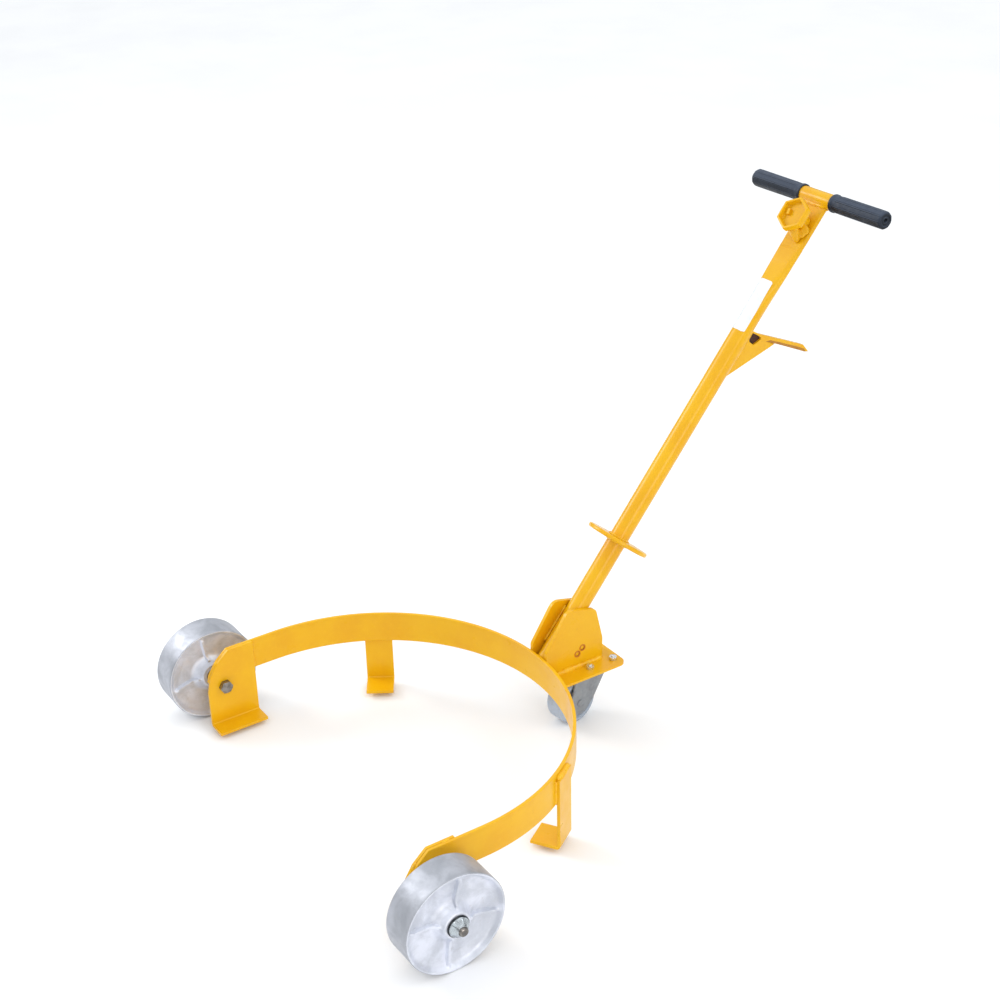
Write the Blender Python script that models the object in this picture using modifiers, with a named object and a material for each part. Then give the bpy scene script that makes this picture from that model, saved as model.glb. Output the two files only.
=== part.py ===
"""Drum dolly: a low three-wheeled caddy that carries an upright 55 gallon steel drum.

A flat-bar band stands round the foot of the drum, open towards -Y. Four lifting lips hang from it and
go in under the drum. Two cast wheels turn on bolts at the band's ends, a swivel caster carries the rear,
and a slanted handle at +Y holds a bung wrench and a seal remover.

Frame, in metres: +X runs along the wheels' axle, +Y from the drum towards the handle, +Z up. The origin
is on the floor, under the middle of the object's box.
"""

import math

import bmesh
import bpy
from mathutils import Matrix, Vector

# Places and thicknesses that several pieces share
DRUM_Y = -0.337  # the drum's axis, which puts the middle of the whole box at the origin
GAP = 0.0003  # between pieces that touch
PLATE = 0.005  # the flat bar of the band, its straps and its brackets

# Band round the drum
BAND_RADIUS = 0.3032  # its outer face
BAND_BOTTOM = 0.0867
BAND_HEIGHT = 0.0508
BAND_LEG_END = DRUM_Y - 0.122
BAND_TOP = BAND_BOTTOM + BAND_HEIGHT

# Lifting straps and lips
LIP_TOP = 0.0125
LIP_BOTTOM = LIP_TOP - PLATE
LIP_INNER = 0.262  # how far in the lips reach, from the drum's axis
STRAP_ANGLE = math.radians(32.8)
STRAP_WIDTH = 0.0445
STRAP_TOP = 0.128
STRAP_OUTER = BAND_RADIUS + GAP + PLATE
BRACKET_OUTER = BAND_RADIUS - PLATE - GAP
BRACKET_REAR = DRUM_Y - 0.041
BRACKET_FRONT = DRUM_Y - 0.124

# Main wheels and their axle bolts
AXLE_Y = DRUM_Y - 0.0955
WHEEL_RADIUS = 0.0762
WHEEL_WIDTH = 0.050
WHEEL_X = 0.3581  # the wheel's middle plane
HUB_LENGTH = 0.056
HUB_BORE = 0.0130
BOLT_RADIUS = 0.00635

# Rear plate, gussets and caster
MOUNT_PLATE = 0.004
GUSSET_PLATE = 0.006
PLATE_TOP = 0.104
PLATE_BOTTOM = PLATE_TOP - MOUNT_PLATE
PLATE_HALF_WIDTH = 0.0545
PLATE_FRONT = DRUM_Y + 0.3045
PLATE_REAR = DRUM_Y + 0.4335
KING_Y = DRUM_Y + 0.3977
MOUNT_X = 0.0365
MOUNT_Y = 0.02225
MOUNT_BOLT = 0.003
MOUNT_HEX = 0.0058  # centre to corner, of the bolts' heads and their nuts
CASTER_TRAIL = 0.0370
CASTER_SWIVEL = math.radians(8)  # how far the caster stands turned from straight ahead
CASTER_RADIUS = 0.038
CASTER_WIDTH = 0.032
CASTER_AXLE_Y = KING_Y - CASTER_TRAIL
FORK_TOP = 0.088
FORK_HALF_WIDTH = 0.0215
FORK_SHEET = 0.003
FORK_HOLE_RADIUS = 0.0043

# Handle: a tube that leaves the floor plane at HANDLE_FOOT_Y and slants up at HANDLE_ANGLE
HANDLE_ANGLE = math.radians(50.8)
HANDLE_FOOT_Y = DRUM_Y + 0.2186
TUBE_RADIUS = 0.0151
TUBE_WALL = 0.0026
TUBE_START = 0.1550
CROSSBAR_Y = DRUM_Y + 0.8317
CROSSBAR_Z = 0.7567
CROSSBAR_RADIUS = 0.0117
CROSSBAR_HALF_LENGTH = 0.134
GRIP_INNER_X = 0.032
GRIP_OUTER_X = 0.1385
GRIP_RADIUS = 0.0134
GRIP_COLLAR = 0.0141
DISC_ALONG = 0.374
DISC_RADIUS = 0.0508
WRENCH_ALONG = 0.9308
WRENCH_HEIGHT = 0.038
WRENCH_CORNER = 0.0274
LABEL_ALONG = (0.7415, 0.829)
REMOVER_PLATE = 0.008
DISC_PLATE = 0.0068  # quarter-inch plate under thick paint

RING_POINTS = 24

YELLOW = ("painted yellow", (0.91, 0.46, 0.015), 0.0, 0.35)
CAST = ("cast wheel", (0.55, 0.57, 0.60), 0.8, 0.5)
ZINC = ("zinc plated steel", (0.62, 0.64, 0.66), 1.0, 0.3)
FORK = ("caster steel", (0.30, 0.32, 0.34), 0.8, 0.45)
BRONZE = ("bushing bronze", (0.45, 0.28, 0.12), 1.0, 0.4)
RUBBER = ("grip rubber", (0.03, 0.035, 0.045), 0.0, 0.6)
PAPER = ("blank label", (0.85, 0.87, 0.88), 0.0, 0.4)


def clear_scene():
    for obj in list(bpy.data.objects):
        bpy.data.objects.remove(obj, do_unlink=True)


def collection(name, rendered):
    made = bpy.data.collections.new(name)
    made.hide_render = not rendered
    bpy.context.scene.collection.children.link(made)
    return made


def material(look):
    """The material of one look, made the first time that it is asked for."""
    name, colour, metallic, roughness = look
    if name in bpy.data.materials:
        return bpy.data.materials[name]
    made = bpy.data.materials.new(name)
    made.use_nodes = True
    shader = made.node_tree.nodes["Principled BSDF"]
    shader.inputs["Base Color"].default_value = (*colour, 1)
    shader.inputs["Metallic"].default_value = metallic
    shader.inputs["Roughness"].default_value = roughness
    return made


def axes(x_axis, y_axis, origin):
    """The matrix of a piece whose own X and Y point along two world directions."""
    x_axis, y_axis = Vector(x_axis), Vector(y_axis)
    turn = Matrix((x_axis, y_axis, x_axis.cross(y_axis))).transposed().to_4x4()
    return Matrix.Translation(origin) @ turn


def upright(origin=(0, 0, 0)):
    """Its own XYZ are the world's."""
    return axes((1, 0, 0), (0, 1, 0), origin)


def sideways(origin=(0, 0, 0)):
    """Its own X and Y are the world's Y and Z, so its own Z runs along the axle."""
    return axes((0, 1, 0), (0, 0, 1), origin)


def on_handle(along, height=0.0):
    """Its own X is the world's, its own Y runs up the tube and its own Z out of the tube towards the drum."""
    up = Vector((0, math.cos(HANDLE_ANGLE), math.sin(HANDLE_ANGLE)))
    out = Vector((1, 0, 0)).cross(up)
    foot = Vector((0, HANDLE_FOOT_Y, 0))
    return axes((1, 0, 0), up, foot + up * along + out * height)


def add_object(name, data, look, matrix):
    obj = bpy.data.objects.new(name, data)
    if look is None:
        cutters.objects.link(obj)
        obj.hide_render = True
        obj.display_type = "WIRE"
    else:
        data.materials.append(material(look))
        parts.objects.link(obj)
    obj.matrix_world = matrix
    return obj


def rounded(corners, steps=5):
    """The outline through corners given as (x, y, radius), with each corner rounded."""
    points = []
    for index, (x, y, radius) in enumerate(corners):
        here = Vector((x, y))
        if radius == 0:
            points.append(tuple(here))
            continue
        back = (Vector(corners[index - 1][:2]) - here).normalized()
        ahead = (Vector(corners[(index + 1) % len(corners)][:2]) - here).normalized()
        half = back.angle(ahead) / 2
        centre = here + (back + ahead).normalized() * radius / math.sin(half)
        start = here + back * radius / math.tan(half) - centre
        end = here + ahead * radius / math.tan(half) - centre
        turn = start.angle_signed(end)
        for step in range(steps + 1):
            points.append(tuple(centre + Matrix.Rotation(-turn * step / steps, 2) @ start))
    return points


def arc(centre, radius, start, end, steps):
    """Points along an arc, from one angle in degrees to another."""
    points = []
    for step in range(steps + 1):
        angle = math.radians(start + (end - start) * step / steps)
        points.append((centre[0] + radius * math.cos(angle), centre[1] + radius * math.sin(angle)))
    return points


def round_hole(centre, radius, steps=16):
    return arc(centre, radius, 0, 360, steps)[:-1]


def as_mesh(obj):
    """Turns a curve object into a closed mesh object, which a Boolean can take."""
    bpy.context.view_layer.update()
    evaluated = obj.evaluated_get(bpy.context.evaluated_depsgraph_get())
    mesh = bpy.data.meshes.new_from_object(evaluated)
    solid = bmesh.new()
    solid.from_mesh(mesh)
    bmesh.ops.remove_doubles(solid, verts=solid.verts, dist=1e-6)
    solid.to_mesh(mesh)
    solid.free()
    name, matrix, home = obj.name, obj.matrix_world.copy(), obj.users_collection[0]
    bpy.data.objects.remove(obj, do_unlink=True)
    made = bpy.data.objects.new(name, mesh)
    home.objects.link(made)
    made.matrix_world = matrix
    if home == cutters:
        made.hide_render = True
        made.display_type = "WIRE"
    return made


def plate(name, outlines, thickness, matrix, look):
    """A flat plate centred on its own XY plane: the first outline is its rim, the rest are its holes."""
    curve = bpy.data.curves.new(name, "CURVE")
    curve.dimensions = "2D"
    curve.fill_mode = "BOTH"
    curve.extrude = thickness / 2
    for outline in outlines:
        spline = curve.splines.new("POLY")
        spline.points.add(len(outline) - 1)
        spline.use_cyclic_u = True
        for point, (x, y) in zip(spline.points, outline):
            point.co = (x, y, 0, 1)
    return as_mesh(add_object(name, curve, look, matrix))


def shade(mesh):
    mesh.shade_smooth()
    mesh.set_sharp_from_angle(angle=math.radians(32))


def turned(name, profile, matrix, look, steps=RING_POINTS, is_ring=True):
    """A profile of (radius, height) points turned round its own Z. A ring's profile is a closed loop."""
    mesh = bpy.data.meshes.new(name)
    count = len(profile)
    edges = [(index, index + 1) for index in range(count - 1)]
    if is_ring:
        edges.append((count - 1, 0))
    mesh.from_pydata([(radius, 0, height) for radius, height in profile], edges, [])
    obj = add_object(name, mesh, look, matrix)
    screw = obj.modifiers.new("Screw", "SCREW")
    screw.steps = steps
    screw.render_steps = steps
    screw.use_merge_vertices = True
    screw.merge_threshold = 1e-5
    return obj


def bushing(name, inner, outer, low, high, matrix, look, steps=RING_POINTS):
    """A plain tube, washer or spacer along its own Z."""
    profile = [(outer, high), (outer, low), (inner, low), (inner, high)]
    return turned(name, profile, matrix, look, steps)


def oval(width, thickness, height):
    """A ring of points round a flattened tube: straight sides along X, with half-round ends."""
    points = []
    for index in range(RING_POINTS):
        angle = 2 * math.pi * (index + 0.5) / RING_POINTS
        side = math.copysign((width - thickness) / 2, math.cos(angle))
        points.append((side + thickness / 2 * math.cos(angle), thickness / 2 * math.sin(angle), height))
    return points


def hexagon(corner, height, lead=30):
    """A ring of points round a hexagon, from its centre-to-corner radius, with a corner at the lead angle."""
    points = []
    for index in range(RING_POINTS):
        angle = 360 * index / RING_POINTS
        from_flat = math.radians((angle - lead) % 60 - 30)
        radius = corner * math.cos(math.radians(30)) / math.cos(from_flat)
        points.append((radius * math.cos(math.radians(angle)), radius * math.sin(math.radians(angle)), height))
    return points


def disc_ring(radius, height):
    """A ring of points round a circle, at the same angles as those of a hexagon."""
    return [(x, y, height) for x, y in round_hole((0, 0), radius, RING_POINTS)]


def loft(name, rings, matrix, look, is_closed=False):
    """A solid through unlike rings of the same number of points, capped, or joined into a loop."""
    solid = bmesh.new()
    loops = [[solid.verts.new(point) for point in ring] for ring in rings]
    pairs = list(zip(loops, loops[1:]))
    if is_closed:
        pairs.append((loops[-1], loops[0]))
    else:
        solid.faces.new(list(reversed(loops[0])))
        solid.faces.new(loops[-1])
    for low, high in pairs:
        for index in range(RING_POINTS):
            after = (index + 1) % RING_POINTS
            solid.faces.new((low[index], low[after], high[after], high[index]))
    mesh = bpy.data.meshes.new(name)
    solid.to_mesh(mesh)
    solid.free()
    shade(mesh)
    return add_object(name, mesh, look, matrix)


def boolean(obj, tool, operation):
    """Cuts or trims a piece with a cutter, and keeps the result as the piece's own mesh."""
    modifier = obj.modifiers.new(operation.title(), "BOOLEAN")
    modifier.operation = operation
    modifier.object = tool
    modifier.solver = "EXACT"
    return obj


def drum_band():
    """The flat bar: half a circle round the drum, with straight legs that run on to the wheel brackets."""
    inner = BAND_RADIUS - PLATE
    centre = (0, DRUM_Y)
    outline = [(BAND_RADIUS, BAND_LEG_END)]
    outline += arc(centre, BAND_RADIUS, 0, 180, 48)
    outline += [(-BAND_RADIUS, BAND_LEG_END), (-inner, BAND_LEG_END)]
    outline += arc(centre, inner, 180, 0, 48)
    outline += [(inner, BAND_LEG_END)]
    band = plate("drum_band", [outline], BAND_HEIGHT, upright((0, 0, BAND_BOTTOM + BAND_HEIGHT / 2)), YELLOW)
    cutter = plate("drum_band_trim", [front_outline(0.20, LIP_BOTTOM)], 0.7, sideways(), None)
    boolean(band, cutter, "INTERSECT")


def front_outline(rear, bottom):
    """The outline, in world Y and Z, of the chamfered front that a band's leg and its bracket share."""
    above = BAND_TOP + 0.002
    corners = [
        (DRUM_Y - 0.0845, above, 0),
        (DRUM_Y - 0.0845, BAND_TOP, 0),
        (DRUM_Y - 0.1050, 0.1195, 0.020),
        (DRUM_Y - 0.1185, 0.0980, 0.020),
        (BRACKET_FRONT, 0.0700, 0.030),
        (BRACKET_FRONT, bottom, 0),
        (rear, bottom, 0),
        (rear, above, 0),
    ]
    return rounded(corners, 3)


def bent_lip(outer, top):
    """The outline, across its width, of a strap that hangs down and is bent in under the drum."""
    inner = outer - PLATE
    corners = [
        (outer, LIP_BOTTOM, 0.0075),
        (outer, top, 0),
        (inner, top, 0),
        (inner, LIP_TOP, 0.0025),
        (LIP_INNER, LIP_TOP, 0),
        (LIP_INNER, LIP_BOTTOM, 0),
    ]
    return rounded(corners)


def lift_strap(name, angle):
    """A strap lapped on the outside of the band."""
    radial = (math.cos(angle), math.sin(angle), 0)
    place = axes(radial, (0, 0, 1), (0, DRUM_Y, 0))
    plate(name, [bent_lip(STRAP_OUTER, STRAP_TOP)], STRAP_WIDTH, place, YELLOW)


def wheel_bracket(name, side):
    """The plate that holds a wheel's bolt, lapped on the inside of the band's leg, with its own lifting lip."""
    middle = (BRACKET_FRONT + BRACKET_REAR) / 2
    place = axes((side, 0, 0), (0, 0, 1), (0, middle, 0))
    bracket = plate(name, [bent_lip(BRACKET_OUTER, BAND_TOP)], BRACKET_REAR - BRACKET_FRONT, place, YELLOW)
    outline = front_outline(BRACKET_REAR + 0.002, LIP_BOTTOM - 0.002)
    hole = round_hole((AXLE_Y, WHEEL_RADIUS), BOLT_RADIUS + GAP)
    cutter = plate(name + "_trim", [outline, hole], 0.16, sideways((side * 0.29, 0, 0)), None)
    boolean(bracket, cutter, "INTERSECT")


def axle(side, word):
    """A wheel's bolt, spacer, washer and flange nut, from the bracket out."""
    out = axes((0, side, 0), (0, 0, 1), (0, AXLE_Y, WHEEL_RADIUS))
    hub_start = WHEEL_X - HUB_LENGTH / 2
    hub_end = WHEEL_X + HUB_LENGTH / 2
    head = 0.0109
    shank = BOLT_RADIUS - 0.00005
    under_head = BRACKET_OUTER - PLATE - GAP
    bolt = [
        hexagon(head, under_head - 0.008, lead=0),
        hexagon(head, under_head, lead=0),
        disc_ring(shank, under_head),
        disc_ring(shank, 0.4020),
        disc_ring(shank - 0.001, 0.4030),
    ]
    loft("axle_bolt_" + word, bolt, out, ZINC)
    bore = BOLT_RADIUS + GAP
    bushing("axle_spacer_" + word, bore, 0.0095, BRACKET_OUTER + GAP, hub_start - GAP, out, ZINC)
    bushing("axle_washer_" + word, bore, 0.0165, hub_end + GAP, hub_end + 0.0025, out, ZINC)
    nut_start = hub_end + 0.0025 + GAP
    nut_end = nut_start + 0.0100
    nut = [
        disc_ring(0.0150, nut_start),
        disc_ring(0.0150, nut_start + 0.0015),
        hexagon(0.0110, nut_start + 0.0038, lead=0),
        hexagon(0.0110, nut_end - 0.0012, lead=0),
        disc_ring(0.0090, nut_end),
        disc_ring(bore, nut_end),
        disc_ring(bore, nut_start),
    ]
    loft("axle_nut_" + word, nut, out, ZINC, is_closed=True)


def wheel(side, word):
    """A cast wheel with a dished face, and the bronze bush pressed in its hub."""
    out = axes((0, side, 0), (0, 0, 1), (side * WHEEL_X, AXLE_Y, WHEEL_RADIUS))
    face = WHEEL_WIDTH / 2
    hub = HUB_LENGTH / 2
    half = [
        (0.0195, hub),
        (0.0225, hub - 0.004),
        (0.0300, face - 0.0130),
        (0.0560, face - 0.0110),
        (0.0680, face - 0.0070),
        (0.0705, face - 0.0010),
        (0.0720, face),
        (0.0745, face),
        (WHEEL_RADIUS, face - 0.0020),
    ]
    profile = [(HUB_BORE, hub)] + half
    profile += [(radius, -height) for radius, height in reversed(half)]
    profile += [(HUB_BORE, -hub)]
    turned("wheel_" + word, profile, out, CAST, steps=40)
    bushing("wheel_bush_" + word, BOLT_RADIUS + GAP, HUB_BORE - GAP, -hub, hub, out, BRONZE)


def rear_plate():
    corner = 0.012
    corners = [
        (-PLATE_HALF_WIDTH, PLATE_FRONT, 0),
        (PLATE_HALF_WIDTH, PLATE_FRONT, 0),
        (PLATE_HALF_WIDTH, PLATE_REAR, corner),
        (-PLATE_HALF_WIDTH, PLATE_REAR, corner),
    ]
    holes = [round_hole(place, MOUNT_BOLT + GAP) for place in mount_places()]
    level = upright((0, 0, (PLATE_TOP + PLATE_BOTTOM) / 2))
    plate("caster_mount_plate", [rounded(corners)] + holes, MOUNT_PLATE, level, YELLOW)


def mount_places():
    return [(x, KING_Y + y) for x in (-MOUNT_X, MOUNT_X) for y in (-MOUNT_Y, MOUNT_Y)]


def gusset(name, side):
    """The side plate that holds the handle's foot, with two round holes behind the tube."""
    low = PLATE_TOP + GAP
    front = DRUM_Y + BAND_RADIUS + 0.0008
    corners = [
        (front, low, 0),
        (DRUM_Y + 0.4100, low, 0),
        (DRUM_Y + 0.4106, 0.1405, 0.030),
        (DRUM_Y + 0.3975, 0.1970, 0.013),
        (DRUM_Y + 0.3450, 0.2101, 0.015),
        (front, 0.1480, 0.010),
    ]
    holes = [round_hole((DRUM_Y + y, z), 0.0040, 12) for y, z in ((0.3720, 0.1356), (0.3624, 0.1272))]
    inner = TUBE_RADIUS + GAP
    place = sideways((side * (inner + GUSSET_PLATE / 2), 0, 0))
    plate(name, [rounded(corners)] + holes, GUSSET_PLATE, place, YELLOW)


def caster():
    """The swivel caster: top plate, ball race, king pin, fork, wheel with its sleeve, and axle rivet."""
    top_high = PLATE_BOTTOM - GAP
    top_low = top_high - 0.0028
    wide, deep, bend = 0.0475, 0.032, 0.006
    corners = [(-wide, -deep, bend), (wide, -deep, bend), (wide, deep, bend), (-wide, deep, bend)]
    holes = [round_hole((x, y - KING_Y), MOUNT_BOLT + GAP) for x, y in mount_places()]
    level = upright((0, KING_Y, (top_high + top_low) / 2))
    plate("caster_top_plate", [rounded(corners)] + holes, top_high - top_low, level, FORK)
    pivot = bpy.data.objects.new("caster_swivel_axis", None)
    pivot.location = (0, KING_Y, 0)
    parts.objects.link(pivot)
    swivel = upright((0, KING_Y, 0))
    race = [(0.0245, top_low - GAP), (0.0285, FORK_TOP + 0.0030), (0.0255, FORK_TOP + GAP)]
    race += [(0.0055, FORK_TOP + GAP), (0.0055, top_low - GAP)]
    turned("caster_ball_race", race, swivel, FORK)
    pin_low = FORK_TOP - FORK_SHEET - GAP
    pin = [(0, top_low - GAP), (0.005, top_low - GAP), (0.005, pin_low), (0.0090, pin_low)]
    pin += [(0.0090, pin_low - 0.0035), (0.0070, pin_low - 0.0050), (0, pin_low - 0.0050)]
    turned("caster_king_pin", pin, swivel, ZINC, is_ring=False)
    pieces = caster_fork() + caster_wheel()
    bpy.context.view_layer.update()
    for piece in pieces:
        place = piece.matrix_world.copy()
        piece.parent = pivot
        piece.matrix_world = place
    pivot.rotation_euler.z = CASTER_SWIVEL


def caster_fork():
    """A sheet bent to a channel over the wheel, its legs tapering to the axle. Returns it with its cutters."""
    half, inside = FORK_HALF_WIDTH, FORK_HALF_WIDTH - FORK_SHEET
    crown = FORK_TOP - FORK_SHEET
    corners = [
        (-half, 0.010, 0),
        (-half, FORK_TOP, 0.005),
        (half, FORK_TOP, 0.005),
        (half, 0.010, 0),
        (inside, 0.010, 0),
        (inside, crown, 0.002),
        (-inside, crown, 0.002),
        (-inside, 0.010, 0),
    ]
    channel = axes((1, 0, 0), (0, 0, 1), (0, KING_Y - 0.01, 0))
    fork = plate("caster_fork", [rounded(corners, 3)], 0.10, channel, FORK)
    side = [(KING_Y - 0.046, FORK_TOP + 0.002), (KING_Y - 0.046, 0.0800)]
    side += arc((CASTER_AXLE_Y, CASTER_RADIUS), 0.0205, 178, 318, 10)
    side += [(KING_Y - 0.0099, 0.0340), (KING_Y + 0.0139, 0.0687), (KING_Y + 0.0250, 0.0850)]
    side += [(KING_Y + 0.0250, FORK_TOP + 0.002)]
    hole = round_hole((CASTER_AXLE_Y, CASTER_RADIUS), FORK_HOLE_RADIUS)
    legs = plate("caster_fork_legs", [side, hole], 0.06, sideways(), None)
    boolean(fork, legs, "INTERSECT")
    pin_hole = plate("caster_fork_hole", [round_hole((0, 0), 0.0053)], 0.01, upright((0, KING_Y, crown)), None)
    boolean(fork, pin_hole, "DIFFERENCE")
    return [fork, legs, pin_hole]


def caster_wheel():
    across = sideways((0, CASTER_AXLE_Y, CASTER_RADIUS))
    face = CASTER_WIDTH / 2
    hub = FORK_HALF_WIDTH - FORK_SHEET - 0.0012
    half = [
        (0.0100, hub),
        (0.0115, face - 0.0040),
        (0.0290, face - 0.0040),
        (0.0310, face),
        (0.0365, face),
        (CASTER_RADIUS, face - 0.0015),
    ]
    sleeve = 0.0062
    profile = [(sleeve + GAP, hub)] + half + [(radius, -height) for radius, height in reversed(half)]
    profile += [(sleeve + GAP, -hub)]
    tyre = turned("caster_wheel", profile, across, CAST, steps=32)
    reach = FORK_HALF_WIDTH - FORK_SHEET - GAP
    inner = bushing("caster_wheel_sleeve", 0.0043, sleeve, -reach, reach, across, ZINC, 16)
    outside = FORK_HALF_WIDTH + GAP
    head = [(0.0040, outside), (0.0058, outside), (0.0054, outside + 0.0008), (0.0036, outside + 0.0012)]
    profile = [(0, outside + 0.0012)] + head[::-1]
    profile += [(radius, -height) for radius, height in head] + [(0, -outside - 0.0012)]
    rivet = turned("caster_axle_rivet", profile, across, FORK, is_ring=False)
    return [tyre, inner, rivet]


def hex_nut(name, corner, bore, low, high, matrix):
    """A plain nut along its own Z, chamfered on both faces."""
    chamfer = 0.0009
    flat = corner * 0.88
    rings = [
        disc_ring(flat, low),
        hexagon(corner, low + chamfer),
        hexagon(corner, high - chamfer),
        disc_ring(flat, high),
        disc_ring(bore, high),
        disc_ring(bore, low),
    ]
    return loft(name, rings, matrix, ZINC, is_closed=True)


def mount_fasteners():
    """The four bolts up through the caster's top plate and the rear plate, and their nuts."""
    head_top = PLATE_BOTTOM - GAP - 0.0028 - GAP
    for index, (x, y) in enumerate(mount_places(), start=1):
        place = upright((x, y, 0))
        bolt = [
            hexagon(MOUNT_HEX, head_top - 0.0040),
            hexagon(MOUNT_HEX, head_top),
            disc_ring(MOUNT_BOLT, head_top),
            disc_ring(MOUNT_BOLT, PLATE_TOP + 0.0066),
            disc_ring(MOUNT_BOLT - 0.0008, PLATE_TOP + 0.0074),
        ]
        loft(f"mount_bolt_{index}", bolt, place, ZINC)
        low = PLATE_TOP + GAP
        hex_nut(f"mount_nut_{index}", MOUNT_HEX, MOUNT_BOLT + GAP, low, low + 0.0050, place)


def tube_section(along):
    """(width, thickness) of the handle tube: round, then pressed flat towards the crossbar."""
    start, middle, end = 0.775, 0.866, 0.905
    if along <= start:
        return 2 * TUBE_RADIUS, 2 * TUBE_RADIUS
    if along <= middle:
        share = (along - start) / (middle - start)
        share = share * share * (3 - 2 * share)
        return 2 * TUBE_RADIUS + share * 0.0113, 2 * TUBE_RADIUS - share * 0.0182
    share = min(1, (along - middle) / (end - middle))
    return 2 * TUBE_RADIUS + 0.0113 + share * 0.0035, 2 * TUBE_RADIUS - 0.0182 - share * 0.0035


def tube_stations(start, end, steps):
    return [start + (end - start) * step / steps for step in range(steps + 1)]


def handle_tube():
    end = Vector((CROSSBAR_Y - HANDLE_FOOT_Y, CROSSBAR_Z)).length - CROSSBAR_RADIUS - GAP
    stations = [TUBE_START, 0.775] + tube_stations(0.775, 0.905, 9)[1:] + [end]
    outside, inside = [], []
    for along in stations:
        width, thickness = tube_section(along)
        outside.append(on_tube(oval(width, thickness, 0), along))
        inside.append(on_tube(oval(width - 2 * TUBE_WALL, thickness - 2 * TUBE_WALL, 0), along))
    loft("handle_tube", outside + inside[::-1], on_handle(0), YELLOW, is_closed=True)


def on_tube(ring, along):
    """Turns a ring across the tube into the handle's own axes, at a distance up the tube."""
    return [(-x, along, y) for x, y, _ in ring]


def crossbar():
    across = sideways((0, CROSSBAR_Y, CROSSBAR_Z))
    wall = 0.0024
    half = CROSSBAR_HALF_LENGTH
    bushing("handle_crossbar", CROSSBAR_RADIUS - wall, CROSSBAR_RADIUS, -half, half, across, YELLOW)
    for side, word in ((-1, "left"), (1, "right")):
        grip(side, word)


def grip(side, word):
    """A slip-on grip: a collar at its inner end and a closed outer end with a vent hole."""
    out = axes((0, side, 0), (0, 0, 1), (0, CROSSBAR_Y, CROSSBAR_Z))
    bore = CROSSBAR_RADIUS + GAP
    vent = 0.0025
    profile = [
        (vent, GRIP_OUTER_X),
        (GRIP_RADIUS - 0.003, GRIP_OUTER_X),
        (GRIP_RADIUS, GRIP_OUTER_X - 0.003),
        (GRIP_RADIUS, GRIP_INNER_X + 0.009),
        (GRIP_COLLAR, GRIP_INNER_X + 0.005),
        (GRIP_COLLAR, GRIP_INNER_X + 0.001),
        (GRIP_COLLAR - 0.0006, GRIP_INNER_X),
        (bore, GRIP_INNER_X),
        (bore, CROSSBAR_HALF_LENGTH + GAP),
        (vent, CROSSBAR_HALF_LENGTH + GAP),
    ]
    turned("grip_" + word, profile, out, RUBBER)


def step_disc():
    """The round plate threaded on the tube, square to it."""
    half = DISC_PLATE / 2
    edge = 0.001
    outer = DISC_RADIUS
    profile = [(outer - edge, half), (outer, half - edge), (outer, edge - half), (outer - edge, -half)]
    profile += [(TUBE_RADIUS + GAP, -half), (TUBE_RADIUS + GAP, half)]
    place = on_handle(DISC_ALONG) @ Matrix.Rotation(-math.pi / 2, 4, "X")
    turned("step_disc", profile, place, YELLOW, steps=40)


def bung_wrench():
    """The cast six-sided wrench cup for the drum's bungs, on a neck and an arm that slants down the tube."""
    face = tube_section(WRENCH_ALONG)[1] / 2 + GAP
    rim = WRENCH_HEIGHT
    wall = 0.0042
    rings = [
        disc_ring(0.0118, face),
        disc_ring(0.0108, face + 0.005),
        disc_ring(0.0108, face + 0.011),
        hexagon(WRENCH_CORNER - 0.004, rim - 0.0130),
        hexagon(WRENCH_CORNER, rim - 0.0110),
        hexagon(WRENCH_CORNER, rim),
        hexagon(WRENCH_CORNER - wall, rim),
        hexagon(WRENCH_CORNER - wall - 0.0015, rim - 0.0085),
    ]
    place = on_handle(WRENCH_ALONG)
    cup = loft("bung_wrench", rings, place, YELLOW)
    sections = [
        (0.0070, 0.0275, face + 0.0004, 0.0052),
        (0.0066, 0.0268, face + 0.004, 0.0060),
        (0.0046, 0.0210, face + 0.012, 0.0078),
        (0.0022, 0.0150, face + 0.018, 0.0094),
        (0.0000, 0.0085, rim - 0.0100, 0.0100),
    ]
    arm = []
    for across, down, height, radius in sections:
        arm.append([(x + across, y - down, z) for x, y, z in disc_ring(radius, height)])
    boolean(cup, loft("bung_wrench_arm", arm, place, None), "UNION")


def seal_remover():
    """The pry plate behind the tube: a triangular web that runs out to a chisel-ended finger."""
    root = -(TUBE_RADIUS + GAP)
    top = 0.7464  # how far up the tube the top edge would reach its axis
    rise = 0.2748  # how much further up it is for each metre behind the axis
    corners = [
        (root, 0.6700, 0),
        (-0.0740, 0.7575, 0.012),
        (-0.1414, 0.7745, 0),
        (-0.1487, 0.7785, 0),
        (-0.1305, top + rise * 0.1305, 0),
        (root, top - rise * root, 0),
        (root, 0.7478, 0),
        (-0.0385, 0.7535, 0.001),
        (-0.0360, 0.7405, 0.0055),
        (root, 0.7405, 0.003),
    ]
    corners = [(-behind, along, radius) for behind, along, radius in corners]
    place = on_handle(0) @ axes((0, 0, -1), (0, 1, 0), (0, 0, 0))
    plate("seal_remover", [rounded(corners)], REMOVER_PLATE, place, YELLOW)


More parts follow.
